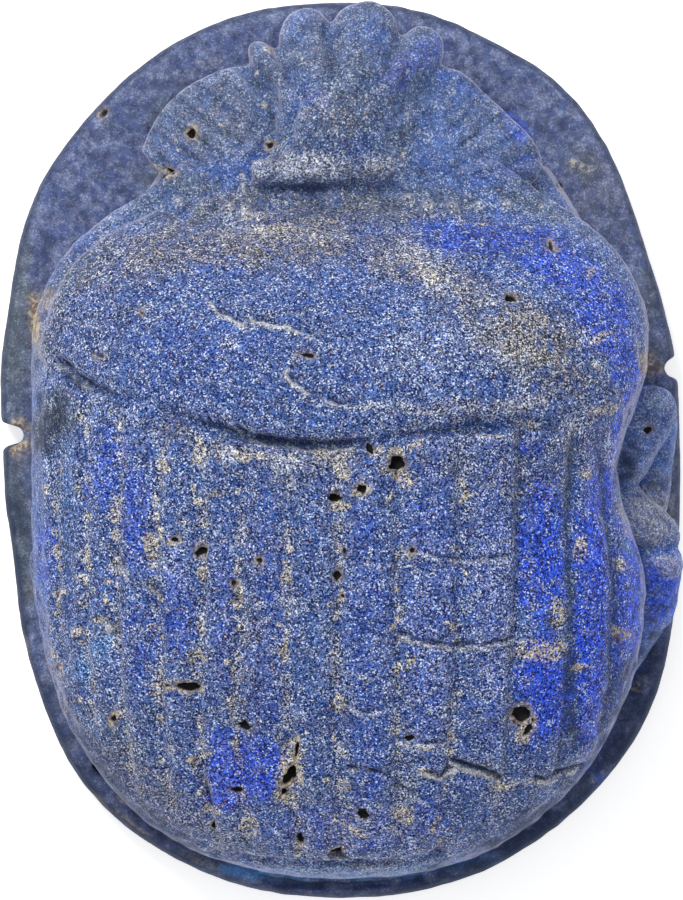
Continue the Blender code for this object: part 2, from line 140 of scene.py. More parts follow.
# Each furrow from the groove to the tail, then its depth
FURROWS = (
    ([(-1.74, -0.07), (-1.78, -3.69), (-1.81, -6.37), (-1.74, -9.71), (-1.41, -13.6)], 0.1),
    ([(-3.25, 0.17), (-3.32, -2.35), (-3.42, -5.03), (-3.55, -7.71), (-3.42, -10.38), (-3.08, -13.4)], 0.1),
    ([(-4.76, 0.6), (-4.69, -1.01), (-4.66, -3.69), (-4.72, -6.37),
      (-4.82, -8.38), (-4.69, -10.72), (-4.15, -13.4)], 0.12),
    ([(-5.93, 0.84), (-6.1, -1.01), (-6.23, -3.02), (-6.2, -5.03),
      (-6.1, -6.7), (-6.1, -9.04), (-5.7, -12.06)], 0.12),
    ([(-7.44, 1.41), (-7.47, -1.68), (-7.5, -3.02), (-7.57, -5.03),
      (-7.5, -6.37), (-7.37, -8.38), (-6.97, -11.39)], 0.12),
    ([(-8.51, 1.68), (-8.58, -1.68), (-8.54, -3.69), (-8.61, -6.37), (-8.38, -9.04)], 0.1),
    ([(-9.51, 2.01), (-9.55, -2.35), (-9.51, -5.03), (-9.31, -7.04)], 0.08),
    ([(-0.23, -0.1), (-0.17, -1.68), (-0.07, -3.69), (-0.13, -6.37),
      (-0.2, -8.38), (-0.13, -10.72), (0.0, -13.6)], 0.12),
    ([(1.84, 0.07), (1.91, -1.68), (1.94, -3.69), (1.88, -6.37), (1.88, -8.38), (1.94, -10.38), (2.01, -13.4)], 0.1),
    ([(4.02, 0.34), (4.02, -1.68), (4.05, -3.69), (3.89, -5.7),
      (3.85, -7.71), (3.69, -9.71), (3.48, -11.73), (3.28, -13.4)], 0.12),
    ([(6.03, 0.47), (5.96, -1.68), (5.93, -3.69), (5.86, -5.7), (5.73, -7.71), (5.63, -9.71), (5.29, -12.23)], 0.13),
    ([(7.71, 0.6), (7.64, -1.01), (7.54, -2.35), (7.6, -4.36), (7.64, -6.37), (7.54, -8.38), (7.17, -10.89)], 0.06),
    ([(8.64, 0.0), (8.74, -1.01), (8.84, -2.35), (9.01, -3.69), (9.08, -5.7), (8.98, -7.71), (8.64, -9.55)], 0.06),
)
FURROW_REACH = 0.18
FURROW_SHOULDER = 0.45

# The groove across the back, left to right, and how much of its depth wear has left at each place
GROOVE = (
    ((-9.85, 3.28), 0.1), ((-9.38, 2.95), 0.8), ((-8.84, 2.45), 1.0), ((-8.11, 1.98), 0.9), ((-7.37, 1.78), 0.35),
    ((-6.43, 1.61), 0.3), ((-5.43, 1.14), 0.5), ((-4.49, 0.8), 0.9), ((-3.92, 0.64), 1.2), ((-3.08, 0.4), 1.2),
    ((-1.74, 0.2), 1.2), ((-0.4, 0.13), 1.2), ((0.34, 0.17), 0.9), ((1.11, 0.34), 0.5), ((1.94, 0.47), 0.6),
    ((3.62, 0.57), 0.8), ((5.29, 0.64), 0.7), ((6.63, 0.97), 0.4), ((7.81, 1.47), -0.1), ((9.65, 2.75), -0.1),
)
GROOVE_DEPTH = 0.2
GROOVE_REACH = 0.12
GROOVE_SHOULDER = 0.4

# Finer cuts: a line, its half width and its depth
CUTS = (
    # the line inside the thorax's rim, on the left and on the right
    ([(-9.92, 4.29), (-9.78, 5.03), (-9.51, 5.59), (-9.18, 6.1),
      (-8.64, 6.7), (-7.91, 7.27), (-7.17, 7.71), (-6.37, 8.01)], 0.13, 0.14),
    ([(7.3, 7.97), (8.31, 7.17), (9.04, 6.3), (9.58, 5.36), (9.85, 4.36), (9.92, 3.35)], 0.12, 0.05),
    # saw marks on the left foreleg and on the right one
    ([(-6.43, 10.65), (-5.7, 10.18), (-4.82, 9.61)], 0.1, 0.16),
    ([(-6.1, 11.22), (-5.09, 10.55), (-4.02, 9.78)], 0.1, 0.16),
    ([(-5.59, 11.76), (-4.49, 11.02), (-3.35, 10.15)], 0.1, 0.16),
    ([(-4.92, 12.26), (-3.89, 11.46), (-2.81, 10.59)], 0.1, 0.16),
    ([(-4.22, 12.6), (-3.28, 11.79), (-2.41, 10.99)], 0.1, 0.13),
    ([(-3.48, 12.86), (-2.75, 12.19), (-2.08, 11.46)], 0.1, 0.1),
    ([(4.29, 12.73), (3.79, 11.79), (3.28, 10.99)], 0.11, 0.07),
    ([(4.96, 12.06), (4.29, 11.22), (3.55, 10.49)], 0.1, 0.11),
    ([(5.53, 11.32), (4.62, 10.59), (3.79, 9.98)], 0.1, 0.11),
    ([(6.0, 10.55), (5.06, 10.02), (4.02, 9.55)], 0.1, 0.12),
    ([(6.33, 9.78), (5.46, 9.41), (4.36, 9.11)], 0.1, 0.12),
    # between the shield and the plates, and between the teeth
    ([(-2.68, 12.73), (-2.24, 11.73), (-2.35, 10.72), (-2.68, 9.88)], 0.16, 0.13),
    ([(2.28, 12.56), (1.88, 11.39), (1.94, 10.38), (2.35, 9.55)], 0.18, 0.13),
    ([(-2.14, 13.33), (-1.74, 12.56), (-1.31, 11.79)], 0.13, 0.13),
    ([(-0.6, 14.14), (-0.4, 13.33), (-0.2, 12.46)], 0.13, 0.12),
    ([(1.81, 13.67), (1.61, 13.0), (1.31, 12.26)], 0.13, 0.12),
    # round the crown and between brow and collar
    ([(-1.41, 11.73), (-1.68, 10.89), (-1.74, 10.12), (-2.35, 9.85), (-3.08, 9.71)], 0.13, 0.12),
    ([(1.21, 11.73), (1.54, 10.89), (1.68, 10.12), (2.08, 9.78)], 0.13, 0.1),
    ([(-2.88, 8.71), (-1.74, 8.61), (-0.74, 8.61), (0.27, 8.68), (1.78, 8.68)], 0.2, 0.14),
    ([(0.34, 9.85), (0.47, 9.38), (0.4, 8.98)], 0.1, 0.07),
    ([(-2.21, 9.78), (-2.14, 9.31), (-2.21, 8.78)], 0.12, 0.1),
    ([(1.74, 9.71), (1.81, 9.31), (1.74, 8.78)], 0.12, 0.09),
    # the rim band at the tail
    ([(-3.25, -13.6), (-2.08, -13.77), (-0.74, -13.8), (0.34, -13.8), (1.94, -13.74), (3.28, -13.5)], 0.12, 0.2),
    ([(-2.68, -14.34), (-1.41, -14.54), (-0.07, -14.61), (1.27, -14.54), (2.61, -14.34)], 0.13, 0.2),
)

# Cracks from drying and firing: a line, its half width, its depth and how far its lower lip stands up
CRACKS = (
    ([(-4.36, 5.03), (-4.09, 4.72), (-3.69, 4.46), (-3.32, 4.29)], 0.05, 0.06, 0.05),
    ([(-2.88, 4.42), (-2.24, 4.29), (-1.68, 4.09), (-1.01, 3.89)], 0.05, 0.07, 0.06),
    ([(-1.74, 2.55), (-1.41, 2.18), (-0.74, 1.78), (0.0, 1.51), (0.9, 1.41)], 0.05, 0.07, 0.06),
    ([(-3.42, 0.6), (-2.68, 0.34), (-1.74, 0.2), (-0.67, 0.1), (0.27, 0.13)], 0.07, 0.1, 0.03),
    ([(-9.38, 2.95), (-8.84, 2.41), (-8.11, 1.98), (-7.37, 1.81)], 0.08, 0.12, 0.03),
    ([(2.01, -3.22), (2.95, -3.42), (3.89, -3.58), (4.96, -3.55), (5.9, -3.42)], 0.05, 0.07, 0.02),
    ([(0.07, -3.55), (0.77, -3.69), (1.44, -3.79), (1.81, -3.62)], 0.05, 0.03, 0.02),
    ([(0.47, -5.59), (0.8, -5.9), (1.24, -6.16), (1.81, -6.26)], 0.05, 0.05, 0.02),
    ([(1.94, -6.06), (2.78, -6.37), (3.62, -6.47), (4.62, -6.47), (5.7, -6.26)], 0.06, 0.08, 0.03),
    ([(0.27, -7.27), (1.11, -7.47), (1.88, -7.64)], 0.05, 0.03, 0.02),
    ([(0.1, -8.44), (0.94, -8.68), (1.68, -8.51)], 0.05, 0.05, 0.02),
    ([(2.01, -9.61), (2.78, -9.75), (3.48, -9.65)], 0.06, 0.07, 0.03),
    ([(0.27, -10.52), (1.44, -10.72), (1.94, -10.59), (2.45, -10.49),
      (2.88, -10.65), (3.35, -10.79), (3.69, -10.59)], 0.06, 0.1, 0.06),
    ([(3.82, -10.32), (4.22, -10.49), (4.69, -10.62), (5.09, -10.75), (5.43, -10.95)], 0.08, 0.15, 0.07),
    ([(5.43, -10.95), (6.13, -10.82), (6.8, -10.92), (7.37, -10.72), (8.04, -10.49)], 0.06, 0.1, 0.04),
    ([(1.81, -11.16), (2.28, -11.39), (2.88, -11.59)], 0.06, 0.08, 0.03),
    ([(-1.68, -1.68), (-1.41, -2.68), (-1.47, -3.69)], 0.05, 0.03, 0.0),
    ([(-7.71, -3.22), (-7.5, -3.55), (-7.24, -3.92), (-7.0, -4.19)], 0.06, 0.08, 0.05),
    ([(-6.43, -4.46), (-6.16, -4.69), (-5.93, -4.92)], 0.06, 0.06, 0.05),
    ([(-4.89, -10.38), (-4.82, -10.89), (-4.56, -11.39), (-4.39, -11.93)], 0.06, 0.09, 0.0),
    ([(-7.97, -5.43), (-7.71, -5.7), (-7.54, -6.13)], 0.06, 0.05, 0.05),
    ([(-0.4, -13.47), (0.1, -13.67), (1.01, -13.8), (1.88, -13.74)], 0.06, 0.1, 0.02),
)

# Burst bubbles and knocks: middle, half length, half width, turn in degrees, depth, and how tan the crust in it is
PITS = (
    ((-1.04, 3.15), 0.2, 0.11, -10, 0.18, 0.5),
    ((5.56, 5.03), 0.19, 0.17, 30, 0.26, 0.4),
    ((1.84, -0.4), 0.33, 0.24, 100, 0.36, 0.6),
    ((0.7, -1.27), 0.18, 0.17, 0, 0.26, 0.6),
    ((0.94, 0.07), 0.17, 0.1, 120, 0.2, 0.5),
    ((-0.23, -1.61), 0.18, 0.13, 0, 0.22, 0.4),
    ((-0.13, -4.15), 0.1, 0.14, 0, 0.16, 0.8),
    ((0.07, -3.35), 0.08, 0.1, 0, 0.12, 0.3),
    ((0.03, -4.86), 0.09, 0.09, 0, 0.12, 0.9),
    ((2.35, -3.32), 0.13, 0.11, 0, 0.14, 0.8),
    ((-5.56, -2.95), 0.16, 0.09, 20, 0.16, 0.9),
    ((-4.72, -3.35), 0.1, 0.17, -15, 0.18, 0.8),
    ((-2.71, -3.65), 0.12, 0.09, 0, 0.13, 0.9),
    ((-3.58, -4.42), 0.1, 0.1, 0, 0.12, 1.0),
    ((-3.48, -4.99), 0.16, 0.06, 10, 0.1, 0.8),
    ((-5.16, -7.87), 0.34, 0.15, -4, 0.26, 0.8),
    ((-5.83, -7.84), 0.18, 0.07, 10, 0.1, 1.0),
    ((-9.55, -7.3), 0.14, 0.13, -50, 0.2, 0.9),
    ((-7.6, -8.94), 0.09, 0.17, -25, 0.12, 1.0),
    ((-3.22, -9.21), 0.22, 0.12, -10, 0.2, 0.2),
    ((-4.32, -12.6), 0.08, 0.15, -10, 0.18, 0.3),
    ((-1.41, -13.07), 0.12, 0.17, 0, 0.18, 0.5),
    ((-0.17, -13.43), 0.2, 0.13, -20, 0.2, 0.6),
    ((-3.48, -11.32), 0.2, 0.1, -35, 0.18, 0.4),
    ((-1.71, -10.82), 0.15, 0.33, -22, 0.4, 0.9),
    ((-1.51, -9.98), 0.07, 0.36, -8, 0.26, 1.0),
    ((-1.91, -11.36), 0.09, 0.12, 0, 0.3, 0.9),
    ((6.03, -8.81), 0.24, 0.26, 20, 0.32, 0.7),
    ((6.2, -9.25), 0.1, 0.2, -30, 0.16, 0.6),
    ((2.21, -9.58), 0.15, 0.1, 0, 0.18, 0.3),
    ((0.74, -12.16), 0.24, 0.14, -15, 0.2, 0.2),
    ((-5.03, 10.59), 0.13, 0.17, -25, 0.16, 1.0),
    ((-2.35, 10.18), 0.13, 0.13, 0, 0.14, 1.0),
    ((-5.7, 9.28), 0.16, 0.08, -30, 0.12, 1.0),
    ((-8.01, 3.12), 0.14, 0.08, -20, 0.08, 0.9),
    ((-6.63, 4.59), 0.1, 0.09, 0, 0.1, 0.9),
    ((6.97, 6.83), 0.09, 0.2, 10, 0.1, 1.0),
    ((9.31, -6.16), 0.14, 0.14, 0, -0.06, 1.0),
    ((10.25, 0.67), 0.14, 0.1, 20, 0.16, 0.5),
    ((-7.94, 11.32), 0.14, 0.1, 50, 0.1, 0.9),
    ((7.3, 8.88), 0.16, 0.1, -60, 0.1, 0.6),
    ((-8.21, -10.65), 0.2, 0.15, -50, 0.14, 0.0),
    ((-7.24, -11.69), 0.12, 0.1, -40, 0.1, 0.9),
)

# Shallow hollows where the back was pressed and rubbed unevenly: middle, half length, half width, turn and depth
HOLLOWS = (
    ((5.13, 4.02), 1.2, 0.5, -35, 0.1),
    ((3.28, 5.03), 1.3, 0.4, -35, 0.09),
    ((7.3, 3.52), 0.8, 0.4, -20, 0.09),
    ((6.3, 2.18), 1.4, 0.4, 0, 0.09),
    ((4.46, 5.86), 0.9, 0.3, -25, 0.07),
    ((2.61, 1.84), 1.5, 0.3, 3, 0.09),
    ((-3.25, 4.19), 1.6, 0.5, -12, 0.08),
    ((-4.76, 2.68), 1.4, 0.5, -15, 0.09),
    ((-0.4, 1.01), 1.6, 0.35, -5, 0.07),
    ((-7.1, 4.02), 1.1, 0.4, -20, 0.07),
    ((-1.41, 3.35), 1.0, 0.4, 5, 0.07),
    ((4.62, 0.84), 2.0, 0.2, -2, 0.1),
    ((7.81, 1.01), 0.6, 0.3, 20, 0.09),
    ((1.94, -4.69), 0.5, 0.7, 0, 0.05),
    ((2.95, -5.03), 0.6, 0.5, 0, 0.06),
    ((4.96, -8.38), 0.5, 0.8, 0, 0.06),
    ((2.95, -11.06), 0.6, 0.3, 0, 0.1),
    ((0.94, -11.39), 0.5, 0.5, 0, 0.08),
    ((4.62, -12.06), 0.6, 0.4, 20, 0.08),
    ((-1.07, -12.06), 0.4, 0.5, 0, 0.08),
    ((-3.75, -9.04), 0.5, 0.4, 0, 0.07),
)

# Beads and knobs left standing in front of the thorax: middle, radius and height
BEADS = (
    ((-5.39, 8.17), 0.24, 0.12),
    ((-4.49, 8.14), 0.26, 0.16),
    ((-3.75, 8.01), 0.24, 0.15),
    ((-3.18, 7.94), 0.22, 0.14),
    ((-2.68, 7.71), 0.22, 0.13),
    ((-3.22, 8.71), 0.25, 0.12),
    ((2.21, 8.31), 0.25, 0.12),
    ((2.88, 8.04), 0.26, 0.14),
    ((3.69, 8.01), 0.24, 0.13),
    ((4.56, 8.07), 0.24, 0.1),
    ((5.46, 8.14), 0.26, 0.1),
    ((-1.01, 9.45), 0.5, 0.1),
    ((-2.61, 9.31), 0.4, 0.14),
    ((1.07, 9.38), 0.3, 0.09),
    ((10.92, -3.89), 0.5, 0.1),
)


def line_distance(x, y, line):
    """How far each point lies from a line of places, and on which side of it: above is positive."""
    nearest = np.full(len(x), np.inf)
    above = np.zeros(len(x))
    for (ax, ay), (bx, by) in zip(line, line[1:]):
        dx, dy = bx - ax, by - ay
        share = np.clip(((x - ax) * dx + (y - ay) * dy) / (dx * dx + dy * dy), 0, 1)
        away = np.hypot(x - ax - share * dx, y - ay - share * dy)
        side = (y - ay - share * dy) * np.sign(dx) if abs(dx) > abs(dy) else x - ax - share * dx
        closer = away < nearest
        nearest = np.where(closer, away, nearest)
        above = np.where(closer, np.sign(side), above)
    return nearest, above


# The noise is laid askew, so that its lumps don't line up with the furrows
SKEW = np.array(Euler((0.6, 0.9, 0.5)).to_matrix())


def lumps(points, size, seed):
    """Smooth noise from -1 to 1 at each point, with lumps of about that size."""
    spot = points @ SKEW / size + 1000
    cell = np.floor(spot).astype(np.int64)
    part = spot - cell
    part = part * part * (3 - 2 * part)
    total = np.zeros(len(points))
    for corner in itertools.product((0, 1), repeat=3):
        key = (cell + corner) @ np.array([73856093, 19349663, 83492791]) + seed * 6542989
        key = (key ^ (key >> 13)) * 1274126177 % 2147483647
        value = (key % 65536) / 32768 - 1
        weight = np.prod(np.where(np.array(corner) == 1, part, 1 - part), axis=1)
        total += value * weight
    return total


def ellipse(x, y, middle, length, width, turn):
    """How far out each point lies from an ellipse's middle, with 1 on its edge."""
    angle = math.radians(turn)
    along = (x - middle[0]) * math.cos(angle) + (y - middle[1]) * math.sin(angle)
    across = (y - middle[1]) * math.cos(angle) - (x - middle[0]) * math.sin(angle)
    return np.hypot(along / length, across / width)


def fine_places(x, y):
    """Which points lie beside a crack or a burst bubble."""
    near = np.zeros(len(x), dtype=bool)
    for line, reach, *_ in CRACKS:
        near |= line_distance(x, y, line)[0] < 0.16 + reach
    for middle, length, width, turn, *_ in PITS:
        near |= ellipse(x, y, middle, length + 0.08, width + 0.08, turn) < 1
    return near


# The mesh is made finer where the small marks are
points, normals = places(body)
near = fine_places(points[:, 0], points[:, 1]) & (normals[:, 2] > 0.05)
only(body)
bpy.ops.object.mode_set(mode="EDIT")
bpy.ops.mesh.select_all(action="DESELECT")
bpy.ops.object.mode_set(mode="OBJECT")
body.data.vertices.foreach_set("select", near)
bpy.ops.object.mode_set(mode="EDIT")
bpy.ops.mesh.select_mode(type="VERT")
bpy.ops.mesh.subdivide(number_cuts=1)
bpy.ops.mesh.select_all(action="SELECT")
bpy.ops.mesh.quads_convert_to_tris(quad_method="BEAUTY", ngon_method="BEAUTY")
bpy.ops.object.mode_set(mode="OBJECT")

# Each stroke deepens the cut, in millimetres, that a point of the skin is sunk by
points, normals = places(body)
x, y, z = points.T
facing = smooth_step(normals[:, 2], 0.08, 0.4)
wobble = 0.05 * lumps(points, 0.5, 3)
worn_x = x + wobble
worn_y = y + 0.05 * lumps(points, 0.5, 4)

groove_places = [place for place, _ in GROOVE]
groove_line = np.interp(x, [place[0] for place in groove_places], [place[1] for place in groove_places])
groove_left = np.interp(x, [place[0] for place in groove_places], [left for _, left in GROOVE])
rim_height = np.interp(y, [-14.3, -6.0, 0], [5.75, 6.1, 6.2])
inside_rim = smooth_step(z - rim_height, 0.25, 1.0)
tail = smooth_step(-13.45 - y, 0, 0.3)
wing_cases = smooth_step(groove_line - 0.1 - y, 0, 0.25) * inside_rim * (1 - tail)

cut = np.zeros(len(x))
furrow = np.zeros(len(x))
for line, depth in FURROWS:
    away = line_distance(worn_x, worn_y, line)[0]
    narrow = np.exp(-((away / FURROW_REACH) ** 2))
    furrow = np.maximum(furrow, narrow * wing_cases)
    cut += (1.25 * depth * narrow + 0.5 * depth * np.exp(-((away / FURROW_SHOULDER) ** 2))) * wing_cases

away = line_distance(worn_x, worn_y, groove_places)[0]
groove = np.exp(-((away / GROOVE_REACH) ** 2)) * groove_left * facing
cut += GROOVE_DEPTH * groove + 0.07 * np.exp(-((away / GROOVE_SHOULDER) ** 2)) * groove_left * facing

for line, reach, depth in CUTS:
    away = line_distance(worn_x, worn_y, line)[0]
    cut += depth * np.exp(-((away / reach) ** 2)) * facing

# The middle of each crack gets painted shade; its raised lower lip is painted white further on
crack_shade = np.zeros(len(x))
lip = np.zeros(len(x))
stray_x = x + 0.06 * lumps(points, 0.28, 11) + 0.05 * lumps(points, 0.8, 12)
stray_y = y + 0.06 * lumps(points, 0.28, 13) + 0.05 * lumps(points, 0.8, 14)
broken = smooth_step(lumps(points, 0.45, 15), -0.5, 0.2)
chipped = smooth_step(lumps(points, 0.6, 16) + 0.5 * lumps(points, 0.2, 17), -0.55, 0.35)
for line, reach, depth, stands in CRACKS:
    away, above = line_distance(stray_x, stray_y, line)
    deep = np.exp(-((away / (1.4 * reach)) ** 2)) * broken
    edge = np.exp(-(((away - 0.12) / 0.07) ** 2)) * (above < 0) * chipped
    swell = np.exp(-(((away - 0.4) / 0.3) ** 2)) * (above > 0)
    cut += (1.4 * depth * deep - 1.3 * stands * edge - 0.7 * stands * swell) * facing
    crack_shade = np.maximum(crack_shade, deep * min(1, depth / 0.1) * facing)
    lip = np.maximum(lip, edge * min(1, stands / 0.05) * facing)

# Each burst bubble's hollow is painted near black as painted shade, with tan crust round it
pit_shade = np.zeros(len(x))
crust = np.zeros(len(x))
ragged = 1 + 0.45 * lumps(points, 0.14, 9) + 0.35 * lumps(points, 0.3, 10)
for middle, length, width, turn, depth, tan in PITS:
    out = ellipse(x, y, middle, length, width, turn) * ragged
    bowl = np.sqrt(np.clip(1 - out**2, 0, 1))
    cut += depth * bowl * facing
    pit_shade = np.maximum(pit_shade, bowl * min(1, max(0, depth) / 0.2) * facing)
    crust = np.maximum(crust, np.exp(-(((out - 1.05) / 0.35) ** 2)) * tan * facing)

for middle, length, width, turn, depth in HOLLOWS:
    cut += depth * np.exp(-(ellipse(worn_x, worn_y, middle, length, width, turn) ** 2)) * facing

bead = np.zeros(len(x))
for middle, radius, height in BEADS:
    out = np.hypot(x - middle[0], y - middle[1]) / radius
    dome = np.clip(1 - out**2, 0, 1) * facing
    cut -= 1.9 * height * dome
    bead = np.maximum(bead, dome)

# Wear, and the gritty skin of the paste
above_ledge = smooth_step(z, 2.0, 3.2)
grit = 0.035 * lumps(points, 0.9, 1) + 0.03 * lumps(points, 0.45, 2) + 0.018 * lumps(points, 0.24, 5)
cut += grit * smooth_step(z, 0.05, 0.4) * (0.45 + 0.55 * above_ledge)

# Between the furrows the skin is pocked and bumpy, most of all on the left
bumps = np.clip(lumps(points, 0.55, 6), -0.3, 1) + 0.6 * lumps(points, 0.3, 7)
cut += 0.055 * bumps * wing_cases * (1 - 0.5 * smooth_step(x, -2, 4))

# Loose crumbs of lime lie on the wing cases, thickest in the furrows on the left
scatter = np.random.default_rng(7)
LOOSE_PER_FURROW = 17
LOOSE_HEIGHT = 0.05
loose = []
for line, _ in FURROWS[:10]:
    across = [place[0] for place in line]
    along = [place[1] for place in line]
    for share in scatter.random(LOOSE_PER_FURROW):
        spot = share * (len(line) - 1)
        middle = (
            np.interp(spot, range(len(line)), across) + 0.16 * scatter.normal(),
            np.interp(spot, range(len(line)), along),
        )
        loose.append((middle, *(0.06 + 0.1 * scatter.random(2)), 180 * scatter.random()))
loose_crumbs = np.zeros(len(x))
for middle, length, width, turn in loose:
    out = ellipse(x, y, middle, length, width, turn) * ragged
    loose_crumbs = np.maximum(loose_crumbs, np.clip(1.15 - out, 0, 1) * wing_cases)
loose_crumbs = np.clip(loose_crumbs * 2, 0, 1)
cut -= LOOSE_HEIGHT * loose_crumbs

# The skin is sunk by the cut, and the underside stays flat
UNDERSIDE = 0.06
points -= normals * cut[:, None]
points[:, 2] = np.where(z < UNDERSIDE, 0, points[:, 2])
body.data.vertices.foreach_set("co", (points * MM).ravel())
body.data.update()
for face_set in ("back", "head", "mound", "hidden"):
    body.vertex_groups.remove(body.vertex_groups[face_set])

# Frit body: what time left on it, and painted light and shade
# The glassy blue shows where the skin is whole. Handling has greyed the high parts, and lime and dust have settled
# in the furrows and the burst bubbles. Some patches are painted highlights and painted shade instead. Each patch is a
# middle, half length, half width, turn in degrees and strength.
VIVID = (
    ((9.71, 2.18), 0.9, 0.22, 70, 0.9),
    ((9.11, 0.34), 1.1, 0.2, 80, 1.0),
    ((8.84, -1.34), 0.9, 0.2, 92, 1.0),
    ((9.38, -2.68), 0.7, 0.16, -60, 0.9),
    ((4.96, 7.04), 2.4, 0.55, -2, 0.72),
    ((3.28, 7.17), 0.7, 0.4, 0, 0.4),
    ((7.37, 6.1), 1.6, 0.8, -30, 0.65),
    ((8.84, 4.42), 1.5, 0.9, -65, 0.7),
    ((9.38, 2.95), 0.9, 0.5, 90, 0.8),
    ((6.63, -3.69), 2.4, 0.75, 90, 1.0),
    ((6.8, -8.04), 1.8, 0.9, 90, 1.0),
    ((8.31, -5.36), 4.6, 0.6, 90, 1.0),
    ((9.11, -5.86), 2.8, 0.4, 90, 0.7),
    ((9.51, -5.03), 2.4, 0.5, 90, 1.0),
    ((10.72, -4.69), 1.3, 0.6, 90, 0.9),
    ((8.64, -1.01), 1.2, 0.5, 90, 0.6),
    ((6.3, 0.17), 0.5, 0.35, 0, 0.7),
    ((-3.28, -10.55), 1.25, 1.25, 0, 1.0),
    ((-3.95, -11.49), 0.65, 0.75, 20, 1.0),
    ((-7.84, -0.5), 1.2, 0.6, 70, 0.45),
    ((-6.77, -2.35), 1.8, 0.5, 95, 0.45),
    ((-5.43, -5.36), 1.6, 0.6, 95, 0.35),
    ((-9.85, -3.52), 1.1, 0.4, 90, 0.5),
    ((-6.67, -6.37), 1.4, 0.6, 90, 0.3),
    ((-3.92, -5.36), 2.0, 0.4, 90, 0.3),
    ((-2.41, -3.69), 1.4, 0.45, 90, 0.25),
    ((1.11, -5.03), 1.2, 0.55, 90, 0.3),
    ((0.94, -10.38), 1.4, 0.5, 90, 0.3),
    ((2.78, -8.04), 1.0, 0.6, 90, 0.3),
    ((2.95, -12.23), 0.9, 0.5, 90, 0.35),
    ((2.45, 13.07), 0.9, 0.4, 35, 0.6),
    ((1.71, 12.23), 0.5, 0.4, 0, 0.6),
    ((-0.8, 11.56), 0.5, 0.3, 60, 0.4),
    ((5.8, 10.79), 0.6, 0.3, -50, 0.7),
    ((5.96, 9.45), 0.7, 0.3, 20, 0.5),
    ((-4.76, 3.52), 2.6, 0.9, -12, 0.1),
    ((2.95, -5.03), 5.0, 0.8, 90, 0.25),
    ((4.96, -5.03), 5.0, 0.7, 90, 0.25),
    ((0.94, -6.37), 5.0, 0.7, 90, 0.22),
    ((-2.41, -6.37), 4.5, 0.6, 90, 0.2),
    ((0.1, -12.56), 2.5, 0.8, 0, 0.35),
)
# Greyed by handling, and painted highlight on the lumps just under the groove and over the shaded right flank
WORN_AND_HIGHLIT_PATCHES = (
    ((-2.41, 6.87), 3.4, 0.75, 2, 1.0),
    ((-5.76, 6.7), 2.2, 0.9, 25, 0.9),
    ((-8.27, 6.3), 1.4, 0.7, 38, 0.6),
    ((-9.45, 4.69), 0.9, 0.5, 80, 0.6),
    ((1.94, 6.3), 1.6, 0.8, -15, 0.8),
    ((3.79, 5.36), 1.4, 0.9, -30, 0.7),
    ((6.3, 3.69), 1.9, 1.1, -25, 1.0),
    ((7.3, 2.18), 1.2, 0.6, 0, 0.7),
    ((4.46, 1.34), 2.4, 0.4, 3, 0.5),
    ((5.29, -0.67), 1.8, 0.9, 0, 0.4),
    ((7.3, 0.34), 0.9, 0.8, 0, 0.4),
    ((2.95, -0.67), 1.2, 0.5, 0, 0.4),
    ((-1.41, -0.67), 1.6, 0.6, 0, 0.3),
    ((10.38, -2.18), 1.1, 0.9, 0, 0.6),
    ((-0.4, -0.17), 1.0, 0.3, 0, 0.8),
    ((-3.75, 0.07), 0.9, 0.3, 5, 0.7),
    ((-5.59, 0.74), 0.9, 0.3, -15, 0.7),
    ((-8.11, -9.71), 1.8, 1.0, -50, 0.5),
    ((-5.76, -11.73), 1.8, 0.8, -38, 0.5),
    ((-8.94, -8.38), 1.4, 0.7, -65, 0.5),
    ((-3.08, -6.7), 2.2, 0.8, 90, 0.4),
    ((-0.07, 7.87), 3.0, 0.6, 0, 0.8),
    ((-3.08, 8.21), 1.2, 0.5, -10, 0.7),
    ((-0.9, 9.51), 1.1, 0.35, 0, 0.3),
    ((1.27, 9.55), 0.5, 0.4, 0, 0.3),
    ((0.1, 11.22), 1.0, 0.8, 0, 0.6),
    ((-4.09, 11.06), 1.7, 1.1, 35, 0.4),
    ((8.64, 8.71), 1.4, 0.8, -60, 0.4),
    ((0.1, 13.07), 2.6, 0.6, 0, 0.3),
    ((-3.08, 4.02), 5.0, 2.0, 0, 0.12),
    ((-8.11, 4.36), 1.6, 1.5, 0, 0.3),
    ((-0.74, 8.21), 2.6, 0.4, 0, 0.7),
)
